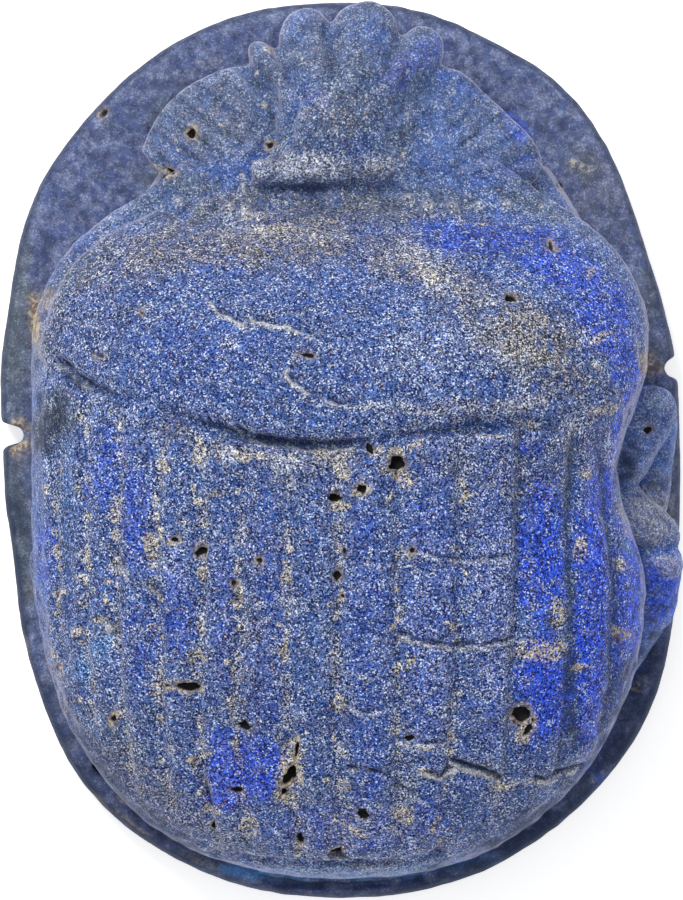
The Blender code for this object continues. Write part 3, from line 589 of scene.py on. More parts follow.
# Loose lime and tan dust lies in crumbs
CRUMBS = (
    ((-7.5, -2.11), 0.14, 0.24, 15, 1.0),
    ((-7.5, -2.81), 0.08, 0.3, 0, 0.8),
    ((-8.41, -2.24), 0.13, 0.14, 0, 1.0),
    ((-7.5, -3.55), 0.4, 0.09, -52, 1.0),
    ((-7.24, -3.95), 0.25, 0.1, -52, 1.0),
    ((-8.44, -3.55), 0.12, 0.4, 0, 0.6),
    ((-7.84, -4.36), 0.3, 0.14, 0, 0.6),
    ((-6.26, -3.02), 0.28, 0.3, 0, 0.8),
    ((-6.3, -3.62), 0.14, 0.3, 0, 0.8),
    ((-6.16, -1.68), 0.14, 0.3, 0, 0.6),
    ((-6.1, -4.79), 0.34, 0.11, -42, 1.0),
    ((-6.23, -5.96), 0.12, 0.3, 0, 0.7),
    ((-5.9, -0.5), 0.16, 0.2, 0, 0.7),
    ((-4.82, -1.68), 0.14, 0.12, 0, 1.0),
    ((-4.56, -2.45), 0.26, 0.13, 0, 0.9),
    ((-5.49, -3.05), 0.3, 0.1, 5, 1.0),
    ((-4.59, -4.02), 0.22, 0.2, 0, 0.8),
    ((-4.69, -0.17), 0.2, 0.5, 0, 0.7),
    ((-4.09, -1.41), 0.28, 0.1, 0, 0.9),
    ((-4.59, -5.86), 0.12, 0.28, -20, 0.8),
    ((-7.5, -6.03), 0.16, 0.22, 40, 0.9),
    ((-7.94, -5.63), 0.24, 0.1, 0, 0.9),
    ((-9.65, -6.77), 0.2, 0.15, 0, 0.8),
    ((-8.61, -6.4), 0.1, 0.1, 0, 1.0),
    ((-9.78, -5.63), 0.2, 0.1, 0, 0.5),
    ((-5.93, -7.84), 0.3, 0.1, -10, 1.0),
    ((-4.99, -8.07), 0.2, 0.08, -15, 1.0),
    ((-3.42, -5.03), 0.24, 0.08, 5, 0.8),
    ((-1.91, -6.7), 0.25, 0.3, 0, 0.7),
    ((-2.21, -7.27), 0.16, 0.07, 0, 1.0),
    ((-4.82, -6.87), 0.35, 0.3, 0, 0.55),
    ((-4.49, -10.12), 0.3, 0.08, 20, 0.8),
    ((-3.02, -12.5), 0.32, 0.36, -10, 1.0),
    ((-1.71, -10.55), 0.42, 1.05, -10, 1.0),
    ((-5.23, -7.81), 0.55, 0.28, -4, 0.7),
    ((-4.82, -10.38), 0.25, 0.1, 40, 0.7),
    ((-3.42, -7.54), 0.3, 0.12, 0, 0.5),
    ((0.1, -11.12), 0.25, 0.2, 0, 0.6),
    ((-0.07, -8.38), 0.25, 0.35, 0, 0.6),
    ((0.5, -12.7), 0.4, 0.12, -32, 0.9),
    ((2.95, -9.92), 0.5, 0.14, -5, 0.5),
    ((2.88, -10.72), 0.5, 0.12, -18, 0.9),
    ((4.76, -10.79), 0.55, 0.12, -10, 0.8),
    ((5.36, -11.19), 0.45, 0.16, -5, 0.8),
    ((6.47, -11.09), 0.5, 0.1, 3, 0.5),
    ((2.11, -12.13), 0.4, 0.4, 0, 0.6),
    ((6.1, -9.31), 0.32, 0.42, -20, 1.0),
    ((2.35, -3.55), 0.22, 0.12, 0, 0.7),
    ((2.28, -6.97), 0.24, 0.2, 0, 0.7),
    ((6.73, -6.63), 0.85, 0.34, 4, 0.9),
    ((7.14, -5.43), 0.3, 0.55, 0, 0.6),
    ((7.91, -3.28), 0.2, 0.4, -10, 0.9),
    ((8.14, -0.77), 0.22, 0.24, 0, 0.9),
    ((9.25, -3.82), 0.24, 0.22, -40, 0.9),
    ((9.08, -5.96), 0.14, 0.3, 20, 0.6),
    ((7.84, -7.24), 0.35, 0.16, 15, 0.6),
    ((8.84, 1.34), 0.5, 0.25, 5, 0.55),
    ((5.8, -1.44), 0.24, 0.1, 10, 0.7),
    ((4.12, -1.34), 0.3, 0.12, 0, 0.3),
    ((1.61, -0.07), 0.7, 0.2, 5, 0.75),
    ((2.35, 0.13), 0.5, 0.16, 20, 0.7),
    ((1.78, -0.74), 0.5, 0.2, -20, 0.7),
    ((2.11, -1.01), 0.3, 0.3, 0, 0.6),
    ((0.7, -1.34), 0.32, 0.26, 0, 0.7),
    ((-0.13, -1.88), 0.4, 0.16, 0, 0.7),
    ((0.0, -0.67), 0.3, 0.4, 30, 0.6),
    ((-0.74, -0.07), 0.5, 0.14, -5, 0.8),
    ((-2.91, -0.2), 0.6, 0.15, 0, 0.7),
    ((6.13, 0.84), 0.45, 0.16, 0, 0.6),
    ((5.13, 0.47), 0.8, 0.06, 0, 0.7),
    ((8.54, 3.69), 0.4, 0.16, 30, 0.6),
    ((8.38, 2.81), 0.3, 0.1, -40, 0.7),
    ((8.31, 5.86), 0.3, 0.2, 60, 0.5),
    ((2.88, 5.86), 0.5, 0.3, -40, 0.5),
    ((-6.0, 9.31), 0.4, 0.16, -30, 0.8),
    ((-2.91, 7.77), 0.4, 0.2, 0, 0.5),
    ((-2.24, 7.37), 0.9, 0.14, 0, 0.5),
    ((-4.36, 13.0), 0.5, 0.3, 15, 0.35),
    ((-2.41, 13.33), 0.25, 0.1, -20, 0.8),
    ((9.85, -7.97), 0.25, 0.22, 0, 0.8),
    ((7.97, 9.55), 0.6, 0.2, -20, 0.5),
)
# Ochre and green from burial, on the left shoulder and in the two cord notches
STAINS = (
    ((-10.25, 4.42), 0.75, 0.2, 95, 1.0),
    ((-9.92, 5.03), 0.4, 0.3, 60, 0.5),
    ((-10.79, 0.84), 0.3, 0.14, -20, 0.9),
    ((-10.72, 0.1), 0.4, 0.2, 25, 0.9),
    ((10.38, 2.75), 0.5, 0.2, 0, 0.9),
    ((10.15, 3.12), 0.3, 0.15, 30, 0.6),
    ((-10.45, -4.69), 0.3, 0.15, 90, 0.3),
    ((-10.72, -6.37), 0.5, 0.15, -60, 0.4),
    ((-8.11, -11.73), 0.5, 0.1, -45, 0.5),
    ((-7.1, -12.46), 0.8, 0.08, -38, 0.6),
    ((-4.76, -13.8), 0.8, 0.08, -25, 0.5),
)
# A duller olive skin round the head, on the shoulders and on the right flank
OLIVE = (
    ((-5.76, 11.39), 0.9, 0.5, 45, 0.7),
    ((-4.02, 12.23), 0.8, 0.35, 15, 0.6),
    ((-2.24, 11.39), 0.4, 1.0, 0, 0.6),
    ((-5.26, 8.88), 1.4, 0.4, -10, 0.9),
    ((-2.91, 8.54), 0.7, 0.4, 0, 0.7),
    ((-0.4, 10.72), 0.9, 0.5, 0, 0.4),
    ((1.94, 10.05), 0.5, 0.6, 0, 0.7),
    ((3.28, 8.38), 1.3, 0.45, -5, 0.8),
    ((6.3, 8.21), 1.4, 0.4, -20, 0.8),
    ((8.14, 9.55), 0.8, 0.5, -50, 0.6),
    ((8.81, 7.54), 0.8, 0.5, -60, 0.25),
    ((2.08, 10.69), 0.7, 0.12, 30, 0.9),
    ((10.25, 5.03), 0.9, 0.3, 95, 0.7),
    ((10.49, 3.35), 0.5, 0.4, 0, 0.8),
    ((10.38, -2.18), 0.8, 0.7, 0, 0.2),
    ((-9.95, 3.35), 0.7, 0.5, 90, 0.8),
    ((-9.61, 0.94), 1.0, 0.6, 60, 1.0),
    ((-8.61, 6.03), 1.8, 0.4, 40, 0.5),
    ((-10.89, 4.02), 3.2, 0.5, 88, 1.0),
    ((-10.92, -2.68), 3.0, 0.5, 93, 1.0),
    ((-10.45, -4.69), 1.0, 0.2, 90, 0.6),
    ((4.62, 3.85), 0.8, 0.5, 0, 0.4),
    ((5.63, 2.85), 0.8, 0.4, 10, 0.5),
    ((-3.42, -13.23), 1.4, 0.4, -20, 0.4),
    ((-7.1, -9.71), 1.4, 0.7, -50, 0.35),
)
PALE = (
    ((-8.11, -6.6), 0.85, 0.3, 42, 1.0),
    ((-8.54, -7.17), 0.55, 0.32, 80, 1.0),
    ((-9.11, -1.68), 1.4, 0.25, 90, 0.3),
    ((9.48, -3.18), 0.3, 0.12, -60, 0.9),
    ((-1.07, -14.1), 3.4, 0.26, 0, 1.0),
    ((2.61, -14.0), 2.0, 0.22, 8, 0.9),
    ((10.49, 1.51), 0.35, 0.2, 5, 0.6),
    ((8.54, 2.81), 0.5, 0.12, -10, 0.8),
    ((-8.27, -9.04), 0.8, 0.4, -50, 0.35),
    ((-3.42, 0.67), 0.5, 0.2, 0, 0.3),
)
# White lime, scuffed or filling a scratch, and painted highlights on the brow, on the lumps under the groove and over
# the shaded right flank
LIME_AND_HIGHLIGHT_PATCHES = (
    ((10.75, -3.69), 0.45, 0.2, 15, 1.0),
    ((10.49, 1.61), 0.35, 0.22, 5, 0.6),
    ((1.27, 1.47), 1.3, 0.1, 0, 0.9),
    ((2.95, 1.27), 1.0, 0.1, 4, 0.8),
    ((5.96, 1.51), 0.8, 0.2, 10, 0.8),
    ((7.81, 0.84), 0.5, 0.35, 0, 0.8),
    ((5.29, 0.37), 1.6, 0.1, -2, 0.7),
    ((8.98, -0.17), 0.3, 0.5, 0, 0.6),
    ((-1.71, -10.55), 0.34, 1.0, -10, 0.9),
    ((10.38, -2.18), 1.0, 0.8, 0, 0.55),
    ((2.95, 3.35), 1.6, 1.0, 0, 0.35),
    ((5.29, 3.52), 1.6, 0.8, -20, 0.5),
    ((3.48, -6.57), 0.3, 0.12, -20, 0.9),
    ((0.5, -12.7), 0.4, 0.13, -32, 1.0),
    ((2.88, -10.69), 0.5, 0.1, -18, 1.0),
    ((4.56, -10.69), 0.55, 0.1, -14, 0.9),
    ((5.36, -11.16), 0.45, 0.13, -5, 0.9),
    ((8.14, -0.74), 0.18, 0.22, 0, 0.9),
    ((7.91, -3.18), 0.13, 0.4, -10, 0.9),
    ((9.21, -3.72), 0.22, 0.16, -40, 0.9),
    ((8.54, 2.78), 0.35, 0.08, -35, 0.9),
    ((-3.69, 3.55), 0.3, 0.16, -30, 0.7),
    ((-1.01, 9.45), 1.3, 0.42, 0, 1.0),
    ((-0.87, 11.49), 0.8, 0.16, 40, 0.7),
    ((10.38, -1.68), 0.6, 0.6, 0, 0.5),
    ((1.21, 9.45), 0.6, 0.4, 0, 0.9),
    ((-3.82, 7.97), 0.3, 0.2, 0, 0.6),
    ((-3.22, 7.77), 0.3, 0.2, 0, 0.7),
    ((-4.59, 8.11), 0.3, 0.2, 0, 0.4),
    ((2.61, 6.37), 1.0, 0.35, -30, 0.7),
    ((3.28, 5.53), 0.9, 0.3, -35, 0.7),
    ((4.62, 5.03), 0.8, 0.3, -30, 0.4),
    ((6.3, 4.19), 0.9, 0.4, -25, 0.6),
    ((7.81, 3.85), 0.7, 0.35, -20, 0.6),
    ((-2.08, 7.2), 1.8, 0.25, 0, 0.5),
    ((-3.82, -0.13), 0.5, 0.24, -5, 0.9),
    ((-2.68, -0.2), 0.3, 0.2, -10, 0.7),
    ((-1.74, -0.37), 0.7, 0.24, -5, 0.9),
    ((-0.4, -0.4), 0.6, 0.2, 0, 0.6),
    ((-6.1, 0.34), 0.4, 0.25, -40, 0.5),
    ((-7.27, 1.17), 0.5, 0.2, -20, 0.4),
    ((3.79, 1.51), 0.8, 0.16, 0, 0.4),
    ((2.61, 0.84), 0.5, 0.14, 10, 0.4),
    ((3.62, 0.34), 0.9, 0.14, 0, 0.4),
    ((6.8, 6.87), 0.1, 0.1, 0, 0.3),
    ((-4.59, -0.5), 0.2, 0.5, 0, 0.5),
    ((-5.93, 0.34), 0.3, 0.3, 0, 0.4),
    ((2.21, -11.06), 0.3, 0.8, 0, 0.4),
    ((4.96, -5.7), 3.9, 0.62, 90, 0.28),
    ((2.95, -5.7), 3.9, 0.6, 90, 0.2),
    ((0.1, -12.46), 2.0, 0.8, 0, 0.28),
    ((0.44, -13.8), 2.4, 0.25, 4, 0.3),
    ((2.21, -8.38), 0.2, 0.6, 0, 0.3),
    ((-1.74, -5.03), 0.2, 1.2, 0, 0.35),
    ((-3.08, -6.37), 0.4, 0.8, 0, 0.3),
    ((-5.59, -3.69), 0.5, 0.6, 0, 0.25),
)
# Painted shade under the brow, in the valleys round the crown and between the teeth, along the groove, in the cut
# lines at the tail, on the shaded right flank and on the ledge round the tail; a few patches, as on the left
# shoulder, are paste that is truly darkest
DARK_AND_SHADE_PATCHES = (
    ((-1.41, 8.74), 1.5, 0.2, 0, 0.8),
    ((1.11, 8.68), 1.0, 0.14, 0, 0.6),
    ((-0.23, 10.15), 1.5, 0.28, 0, 0.35),
    ((-2.08, 9.55), 0.1, 0.4, 0, 0.5),
    ((-6.0, 9.82), 0.6, 0.1, -42, 0.8),
    ((-2.35, 11.22), 1.3, 0.13, 92, 0.5),
    ((2.01, 11.06), 1.3, 0.13, 90, 0.45),
    ((-1.71, 12.53), 0.8, 0.1, -60, 0.4),
    ((-0.4, 13.27), 0.8, 0.1, -76, 0.4),
    ((1.54, 12.93), 0.8, 0.1, 70, 0.4),
    ((9.31, -0.67), 0.2, 0.6, 0, 0.8),
    ((-5.09, 9.95), 0.55, 0.09, -38, 0.7),
    ((5.29, 9.61), 0.5, 0.08, 15, 0.4),
    ((7.57, -8.04), 1.8, 0.24, 92, 0.8),
    ((7.64, -5.03), 1.5, 0.12, 90, 0.6),
    ((9.04, -4.69), 1.5, 0.16, 88, 0.8),
    ((9.01, -7.71), 1.1, 0.16, 92, 0.7),
    ((9.11, -5.7), 2.8, 0.3, 90, 0.4),
    ((4.96, 6.9), 2.2, 0.5, -2, 0.35),
    ((10.55, -4.52), 1.0, 0.5, 90, 0.2),
    ((8.98, 5.36), 1.4, 0.5, -70, 0.15),
    ((-9.25, -3.02), 3.2, 0.6, 90, 0.16),
    ((-7.44, 4.09), 1.5, 0.9, 0, 0.14),
    ((-0.4, 10.65), 0.7, 0.4, 10, 0.4),
    ((6.37, 0.0), 0.4, 0.3, 0, 0.5),
    ((-9.61, 1.07), 0.9, 0.5, 60, 1.0),
    ((-9.78, 0.27), 0.5, 0.4, 40, 1.0),
    ((-8.84, 2.28), 0.6, 0.14, -38, 0.9),
    ((-9.95, 1.74), 0.3, 0.2, 0, 0.6),
    ((3.79, 0.84), 1.8, 0.2, -2, 0.4),
    ((6.3, -2.68), 1.4, 0.4, 90, 0.3),
    ((9.55, -0.5), 0.65, 0.3, 80, 1.0),
    ((4.62, 0.84), 2.2, 0.1, -3, 0.7),
    ((7.3, 1.21), 0.6, 0.1, 20, 0.7),
    ((0.94, 0.87), 1.0, 0.08, 0, 0.5),
    ((10.65, -1.17), 0.5, 0.3, 0, 0.5),
    ((-0.07, -14.61), 2.8, 0.14, 0, 0.9),
    ((0.1, -13.77), 2.0, 0.1, 0, 0.7),
    ((-8.44, -10.72), 2.6, 0.8, -52, 0.7),
    ((-6.1, -12.9), 2.6, 0.7, -35, 0.7),
    ((-9.85, -8.71), 1.6, 0.6, -68, 0.55),
    ((10.15, -8.04), 2.2, 0.9, 70, 0.85),
    ((8.98, -10.72), 2.6, 0.9, 52, 0.9),
    ((6.63, -12.73), 2.6, 0.8, 30, 1.0),
    ((3.79, -14.24), 2.4, 0.5, 14, 0.9),
    ((-10.99, -3.02), 3.0, 0.4, 93, 0.75),
)


def patches(marks, edge, mesh_points, seed):
    """One mask from a list of patches, each with a ragged soft edge."""
    x, y = mesh_points[:, 0], mesh_points[:, 1]
    rough = 1 + 0.3 * lumps(mesh_points, 0.45, seed) + 0.25 * lumps(mesh_points, 0.16, seed + 1)
    mask = np.zeros(len(x))
    for middle, length, width, turn, strength in marks:
        out = ellipse(x, y, middle, length, width, turn) * rough
        mask = np.maximum(mask, strength * (1 - smooth_step(out, 1 - edge, 1 + edge)))
    return mask


def keep(thing, name, values):
    """Stores a value for each vertex under a name that the material reads."""
    layer = thing.data.attributes.new(name, "FLOAT", "POINT")
    layer.data.foreach_set("value", np.clip(values, 0, 1).astype(np.float32))


points, normals = places(body)
x, y, z = points.T
on_top = smooth_step(normals[:, 2], -0.1, 0.25)
furrow_dust = furrow * smooth_step(lumps(points, 0.35, 21) + 0.6 * lumps(points, 0.14, 22), -0.7, 0.6)
left_dust = np.interp(x, [-10, -6, 0, 3, 5.2, 5.8], [0.5, 0.9, 0.8, 0.6, 0.4, 0.05])
keep(body, "vivid", patches(VIVID, 0.35, points, 31) * on_top)
keep(body, "worn_and_highlit", patches(WORN_AND_HIGHLIT_PATCHES, 0.5, points, 33) * on_top)
keep(body, "dust", np.maximum(furrow_dust * left_dust, 0.7 * loose_crumbs))
head_crumbs = smooth_step(y, 6.4, 7.4) * smooth_step(z, 2.6, 3.6) * smooth_step(lumps(points, 0.2, 52), 0.5, 0.8)
keep(body, "crumb", np.maximum.reduce([loose_crumbs, 0.6 * head_crumbs, patches(CRUMBS, 0.4, points, 35) * on_top]))
keep(body, "crust", np.maximum(crust, patches(STAINS, 0.4, points, 37)))
head_skin = smooth_step(y, 6.8, 7.8) * smooth_step(z, 2.6, 3.6) * smooth_step(lumps(points, 1.2, 51), -0.7, 0.4)
keep(body, "olive", np.maximum(patches(OLIVE, 0.6, points, 43), 0.6 * head_skin))
keep(body, "pale", patches(PALE, 0.5, points, 39) * on_top)
# This mask holds white lime, the crack lips, and painted highlights on the brow, under the groove and on the right
# flank
keep(body, "lime_and_highlight", np.maximum.reduce([lip, 0.9 * bead, patches(LIME_AND_HIGHLIGHT_PATCHES, 0.5, points, 45) * on_top]))
keep(body, "lip", lip)
# Painted shade in the cracks, in the groove and in the shaded furrows on the right, with the shade patches, all in
# one dark mask
right_shade = 0.8 * furrow**3 * smooth_step(x, 5.2, 6.5)
ragged_dark_and_shade = patches(DARK_AND_SHADE_PATCHES, 0.45, points, 41) * smooth_step(lumps(points, 0.3, 47), -0.9, 0.1)
keep(body, "dark_and_shade", np.maximum.reduce([crack_shade, 0.75 * groove, right_shade, ragged_dark_and_shade]))
keep(body, "pit_shade", pit_shade)

# Edges that stand out are rubbed pale, and hollows hold dust
count = len(body.data.vertices)
edges = np.empty(len(body.data.edges) * 2, dtype=np.int64)
body.data.edges.foreach_get("vertices", edges)
a, b = edges.reshape(-1, 2).T
links = np.bincount(a, minlength=count) + np.bincount(b, minlength=count)


def neighbours_mean(values):
    total = np.bincount(a, weights=values[b], minlength=count) + np.bincount(b, weights=values[a], minlength=count)
    return total / np.maximum(links, 1)


middle = np.stack([neighbours_mean(points[:, axis]) for axis in range(3)], axis=1)
standing = ((points - middle) * normals).sum(axis=1)
for _ in range(5):
    standing = 0.4 * standing + 0.6 * neighbours_mean(standing)
keep(body, "edge", smooth_step(standing, 0.0008, 0.004) * smooth_step(z, 2.4, 3.2))
keep(body, "hollow", smooth_step(-standing, 0.0006, 0.004))

# The outline of the back, the shield and the plates gets a thin painted highlight line, and the plinth's own rim gets
# painted shade
tilt = normals[:, 2]
on_head = smooth_step(y, 7.0, 8.0)
back_line = 0.7 * smooth_step(0.33 - tilt, 0, 0.12) * smooth_step(tilt, 0.08, 0.18)
head_line = smooth_step(0.5 - tilt, 0, 0.2) * smooth_step(tilt, 0.05, 0.18)
turned = back_line + (head_line - back_line) * on_head
turned *= 1 - 0.7 * smooth_step(-9.2 - x, 0, 0.4) * smooth_step(y, -7, -5.5) * smooth_step(3 - y, 0, 1)
rim_from = 4.4 - 1.3 * on_head
keep(body, "outline_highlight", turned * smooth_step(z, rim_from, rim_from + 0.5))
# Painted sheen: the slopes where the back turns down are lightened, less on the vivid patches and at the lower left
turning = smooth_step(0.82 - tilt, 0, 0.35) * smooth_step(tilt, 0, 0.2) * smooth_step(z, 4.4, 5.2)
left_edge = smooth_step(-7.5 - x, 0, 1) * smooth_step(y, -7, -5)
keep(body, "dust_and_sheen", turning * (1 - 0.8 * patches(VIVID, 0.35, points, 31)) * (1 - 0.8 * left_edge))
keep(body, "plinth", 1 - smooth_step(z, 2.3, 3.4))
keep(body, "plinth_rim_shade", (1 - smooth_step(z, 1.9, 2.12)) * smooth_step(0.985 - normals[:, 2], 0, 0.3))
keep(body, "grain", 0.22 + 0.26 * smooth_step(z, 2.6, 4.4) + 0.52 * smooth_step(z, 5.5, 8.6))

# Smooth stretches give up the mesh that the carving didn't need
MOST_TRIANGLES = 192000
triangles = sum(len(face.vertices) - 2 for face in body.data.polygons)
apply_modifier(body, "DECIMATE", ratio=min(1, MOST_TRIANGLES / triangles))

# Frit body: the material
# Blue frit is ground copper glass: pale and dark grains under a tenth of a millimetre across, matt, with a faint
# glint from the whole grains. Lime dust is duller and rougher.
frit = bpy.data.materials.new("blue_frit_skin")
frit.use_nodes = True
tree = frit.node_tree
shader = tree.nodes["Principled BSDF"]


def add(kind, **settings):
    """A node of the frit's material, with its sockets and settings by name."""
    made = tree.nodes.new(kind)
    for name, value in settings.items():
        if name in made.inputs:
            made.inputs[name].default_value = value
        else:
            setattr(made, name, value)
    return made


def attribute(name):
    """A value that the body keeps for each of its points."""
    return add("ShaderNodeAttribute", attribute_name=name).outputs["Fac"]


def ramp(source, low, high):
    """A mask that goes from 0 to 1 as the source goes from low to high."""
    made = add("ShaderNodeMapRange", interpolation_type="SMOOTHSTEP")
    made.inputs["From Min"].default_value = low
    made.inputs["From Max"].default_value = high
    tree.links.new(source, made.inputs["Value"])
    return made.outputs["Result"]


def math_node(operation, first, second):
    made = add("ShaderNodeMath", operation=operation)
    for socket, value in zip(made.inputs, (first, second)):
        if isinstance(value, (int, float)):
            socket.default_value = value
        else:
            tree.links.new(value, socket)
    return made.outputs["Value"]


def times(first, second):
    return math_node("MULTIPLY", first, second)


def tint(mask, below, above, blend="MIX"):
    """Lays one colour over another where the mask is high."""
    made = add("ShaderNodeMix", data_type="RGBA", blend_type=blend)
    tree.links.new(mask, made.inputs["Factor"])
    for socket, value in ((made.inputs[6], below), (made.inputs[7], above)):
        if isinstance(value, tuple):
            socket.default_value = (*value, 1)
        else:
            tree.links.new(value, socket)
    return made.outputs[2]


def overlay(below, name, share, above):
    """Lays a colour over another by one of the body's own attributes."""
    return tint(times(attribute(name), share), below, above)


def noise(where, size, detail=2.0, rough=0.5, seed=0.0):
    """Noise with lumps of about that many millimetres."""
    made = add("ShaderNodeTexNoise", noise_dimensions="4D", Scale=1 / size, Detail=detail, Roughness=rough, W=seed)
    tree.links.new(where, made.inputs["Vector"])
    return made.outputs["Fac"]


coordinates = add("ShaderNodeTexCoord")
millimetres = add("ShaderNodeMapping", Scale=(1 / MM, 1 / MM, 1 / MM))
tree.links.new(coordinates.outputs["Object"], millimetres.inputs["Vector"])
where = millimetres.outputs["Vector"]

FRIT_BLUE = (0.092, 0.180, 0.48)
FRIT_DEEP = (0.052, 0.125, 0.42)
FRIT_VIVID = (0.036, 0.128, 0.94)
FRIT_NAVY = (0.006, 0.022, 0.24)
FRIT_WORN_AND_HIGHLIT = (0.155, 0.16, 0.21)
FRIT_OLIVE = (0.12, 0.15, 0.165)
PLINTH_SLATE = (0.085, 0.115, 0.26)
LIME_AND_HIGHLIGHT_WHITE = (0.62, 0.62, 0.63)
DUST_GREY = (0.19, 0.19, 0.21)
DUST_TAN = (0.66, 0.58, 0.44)
OCHRE = (0.27, 0.175, 0.09)
PALE_BLUE = (0.07, 0.25, 0.6)
OUTLINE_HIGHLIGHT_PALE = (0.44, 0.42, 0.54)
# The navy of painted shade and of the darkest paste
DARK_AND_SHADE_NAVY = (0.005, 0.020, 0.065)

clouds = noise(where, 1.6, detail=4, rough=0.6)
speckle = noise(where, 0.35, detail=3, rough=0.65, seed=3)
crumbs = noise(where, 0.14, detail=3, rough=0.7, seed=5)
fine = noise(where, 0.07, detail=1, rough=0.6, seed=8)
grain = attribute("grain")

colour = tint(ramp(clouds, 0.35, 0.65), FRIT_DEEP, FRIT_BLUE)
colour = tint(ramp(speckle, 0.45, 0.7), colour, (0.125, 0.19, 0.42))
plinth_skin = tint(ramp(speckle, 0.4, 0.66), PLINTH_SLATE, (0.19, 0.225, 0.37))
colour = tint(attribute("plinth"), colour, plinth_skin)
# Grey of wear, and painted highlight where this mask lies under the groove and on the right flank
worn_and_highlit = times(attribute("worn_and_highlit"), ramp(speckle, 0.25, 0.6))
colour = tint(worn_and_highlit, colour, FRIT_WORN_AND_HIGHLIT)
vivid = times(attribute("vivid"), ramp(speckle, 0.74, 0.5))
glassy = tint(ramp(crumbs, 0.5, 0.37), FRIT_VIVID, FRIT_NAVY)
colour = tint(vivid, colour, glassy)
colour = overlay(colour, "olive", 0.75, FRIT_OLIVE)
colour = overlay(colour, "pale", 0.9, PALE_BLUE)
colour = overlay(colour, "edge", 0.3, (0.26, 0.29, 0.42))
# Painted sheen on the turning slopes
colour = overlay(colour, "dust_and_sheen", 0.28, (0.21, 0.235, 0.4))

# Grey dust lies as a haze in the furrows, with tan and white crumbs standing in it
dust = attribute("dust")
dust_and_sheen = times(dust, ramp(crumbs, 0.2, 0.5))
colour = tint(times(dust_and_sheen, 0.6), colour, DUST_GREY)
crumb = times(ramp(attribute("crumb"), 0.2, 0.6), ramp(crumbs, 0.44, 0.54))
hollow_dust = times(attribute("hollow"), ramp(speckle, 0.5, 0.7))
dust_and_sheen = math_node("MAXIMUM", dust_and_sheen, times(hollow_dust, 0.3))
lime_and_highlight = times(attribute("lime_and_highlight"), ramp(crumbs, 0.35, 0.6))

# Grains of glass, each its own shade; the palest grains also stand in as painted glints
GRAIN_SIZE = 0.042
SKIN_RELIEF = 0.02 * MM
cells = add("ShaderNodeTexVoronoi", voronoi_dimensions="3D", feature="F1", Scale=1 / GRAIN_SIZE)
tree.links.new(where, cells.inputs["Vector"])
shade = add("ShaderNodeSeparateColor")
tree.links.new(cells.outputs["Color"], shade.inputs["Color"])
# White lime, and painted highlights where this mask carries them
colour = tint(times(lime_and_highlight, 0.6), colour, LIME_AND_HIGHLIGHT_WHITE)
colour = tint(times(crumb, 0.9), colour, DUST_TAN)
# The crack lips painted white: lime, and a painted highlight on the lip that faces the lamp
chalk_and_highlight = attribute("lip")
colour = tint(times(chalk_and_highlight, 0.8), colour, LIME_AND_HIGHLIGHT_WHITE)
limed_and_highlit = times(math_node("MAXIMUM", lime_and_highlight, dust_and_sheen), 0.35)
dulled = times(vivid, -0.05)
clustered = times(math_node("SUBTRACT", speckle, 0.5), 0.7)
lightness = math_node("ADD", math_node("ADD", shade.outputs["Red"], clustered), limed_and_highlit)
lightness = math_node("ADD", lightness, dulled)
pale_grain_and_glint = times(ramp(lightness, 0.78, 0.96), grain)
dark_grain = times(ramp(shade.outputs["Red"], 0.42, 0.24), grain)
greyed = math_node("MAXIMUM", math_node("MAXIMUM", dust_and_sheen, crumb), worn_and_highlit)
pale_grain_and_glint_colour = tint(greyed, (0.54, 0.61, 0.76), (0.6, 0.56, 0.5))
tan_grain = times(ramp(shade.outputs["Blue"], 0.985, 0.99), grain)
colour = tint(pale_grain_and_glint, colour, pale_grain_and_glint_colour, "SCREEN")
dark_shade = tint(greyed, (0.0, 0.06, 0.25), (0.05, 0.07, 0.13))
colour = tint(dark_grain, colour, dark_shade, "MULTIPLY")
mottle = add("ShaderNodeHueSaturation")
tree.links.new(colour, mottle.inputs["Color"])
spread = times(math_node("SUBTRACT", ramp(fine, 0.25, 0.75), 0.5), grain)
value = math_node("ADD", times(spread, 1.2), 1.0)
cloudlets = noise(where, 0.42, detail=3, rough=0.6, seed=11)
blotch = math_node("SUBTRACT", ramp(cloudlets, 0.3, 0.7), 0.5)
blotch_share = math_node("SUBTRACT", 0.75, times(grain, 0.4))
value = math_node("ADD", value, times(blotch, blotch_share))
tree.links.new(value, mottle.inputs["Value"])
colour = mottle.outputs["Color"]

colour = tint(times(tan_grain, 0.7), colour, (0.5, 0.22, 0.15))
# Painted highlight on the crack lips, whitened further
colour = tint(times(times(chalk_and_highlight, chalk_and_highlight), 0.6), colour, LIME_AND_HIGHLIGHT_WHITE)
# Painted highlight: a thin pale line along the outline
colour = overlay(colour, "outline_highlight", 0.65, OUTLINE_HIGHLIGHT_PALE)
ochre = tint(ramp(crumbs, 0.45, 0.6), OCHRE, DUST_TAN)
crusted = times(attribute("crust"), ramp(crumbs, 0.3, 0.5))
colour = tint(crusted, colour, ochre)
# Painted shade round the plinth's rim
colour = overlay(colour, "plinth_rim_shade", 0.6, DARK_AND_SHADE_NAVY)
# Painted shade, and the darkest paste, laid on in near black navy
colour = overlay(colour, "dark_and_shade", 0.85, DARK_AND_SHADE_NAVY)
# Painted shade: the hollows of the burst bubbles painted near black
colour = tint(ramp(attribute("pit_shade"), 0.15, 0.5), colour, (0.006, 0.007, 0.008))
tree.links.new(colour, shader.inputs["Base Color"])

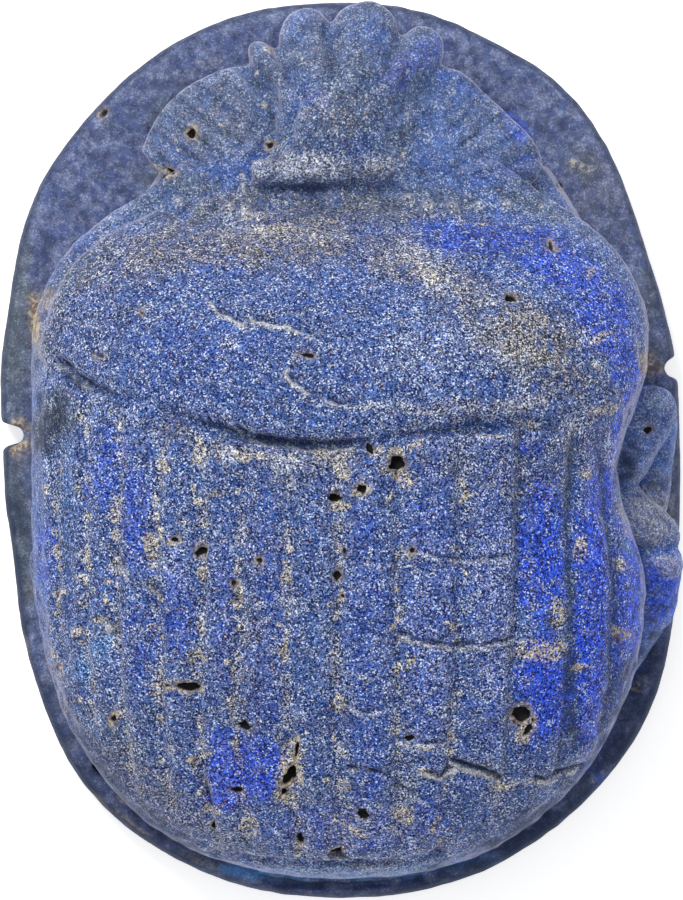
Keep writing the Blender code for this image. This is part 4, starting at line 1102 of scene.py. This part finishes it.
GLASS_ROUGHNESS = 0.66
DUST_ROUGHNESS = 0.95
roughness = add("ShaderNodeMapRange")
for name, value in (("To Min", GLASS_ROUGHNESS), ("To Max", DUST_ROUGHNESS)):
    roughness.inputs[name].default_value = value
tree.links.new(dust_and_sheen, roughness.inputs["Value"])
tree.links.new(roughness.outputs["Result"], shader.inputs["Roughness"])
shader.inputs["Specular IOR Level"].default_value = 0.25

grain_height = times(shade.outputs["Red"], grain)
skin_height = math_node("ADD", grain_height, times(fine, 0.8))
skin_height = math_node("ADD", skin_height, times(crumbs, 1.2))
bump = add("ShaderNodeBump", Strength=1.0, Distance=SKIN_RELIEF)
tree.links.new(skin_height, bump.inputs["Height"])
tree.links.new(bump.outputs["Normal"], shader.inputs["Normal"])

body.data.materials.clear()
body.data.materials.append(frit)
only(body)
bpy.ops.object.shade_smooth()
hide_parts("scarab")
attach(body, "root")

# Floor, light and camera
# A matt white panel, faintly lit from within so that it shows hardly any shadow. A lamp stands at the upper left,
# beyond the head, and a soft light overhead fills in.
bpy.ops.object.select_all(action="DESELECT")
bpy.ops.mesh.primitive_plane_add(size=0.9, location=(0, 0, -0.00001))
floor = bpy.context.object
floor.name = "white_panel"
bpy.ops.object.transform_apply(location=True)
panel = bpy.data.materials.new("white_panel")
panel.use_nodes = True
panel_skin = panel.node_tree.nodes["Principled BSDF"]
panel_skin.inputs["Base Color"].default_value = (0.93, 0.93, 0.93, 1)
panel_skin.inputs["Roughness"].default_value = 0.9
panel_skin.inputs["Emission Color"].default_value = (1, 1, 1, 1)
panel_skin.inputs["Emission Strength"].default_value = 0.6
floor.data.materials.append(panel)

world = bpy.data.worlds.new("studio")
bpy.context.scene.world = world
world.use_nodes = True
world.node_tree.nodes["Background"].inputs["Color"].default_value = (1, 1, 1, 1)
world.node_tree.nodes["Background"].inputs["Strength"].default_value = 0.4


def lamp(name, place, size, energy):
    """A white, square soft light that faces the amulet."""
    light = bpy.data.lights.new(name, "AREA")
    light.size = size
    light.energy = energy
    made = bpy.data.objects.new(name, light)
    made.location = place
    made.rotation_euler = (Vector((0, 0, 0.005)) - Vector(place)).to_track_quat("-Z", "Y").to_euler()
    bpy.context.scene.collection.objects.link(made)


lamp("key", (-0.11, 0.21, 0.3), 0.12, 0.86)
lamp("overhead", (0.0, 0.0, 0.5), 0.36, 0.36)

camera = bpy.data.objects.new("camera", bpy.data.cameras.new("camera"))
bpy.context.scene.collection.objects.link(camera)
CAMERA_HEIGHT = 0.8
FIELD = 30.15 * MM
FIELD_LEVEL = 2 * MM
SENSOR = 24
camera.location = (0, 0, CAMERA_HEIGHT)
camera.data.sensor_fit = "VERTICAL"
camera.data.sensor_height = SENSOR
camera.data.lens = SENSOR * (CAMERA_HEIGHT - FIELD_LEVEL) / FIELD
camera.data.clip_start = 0.01
camera.data.clip_end = 5
bpy.context.scene.camera = camera
bpy.context.scene.view_settings.view_transform = "Standard"
bpy.context.scene.view_settings.look = "None"
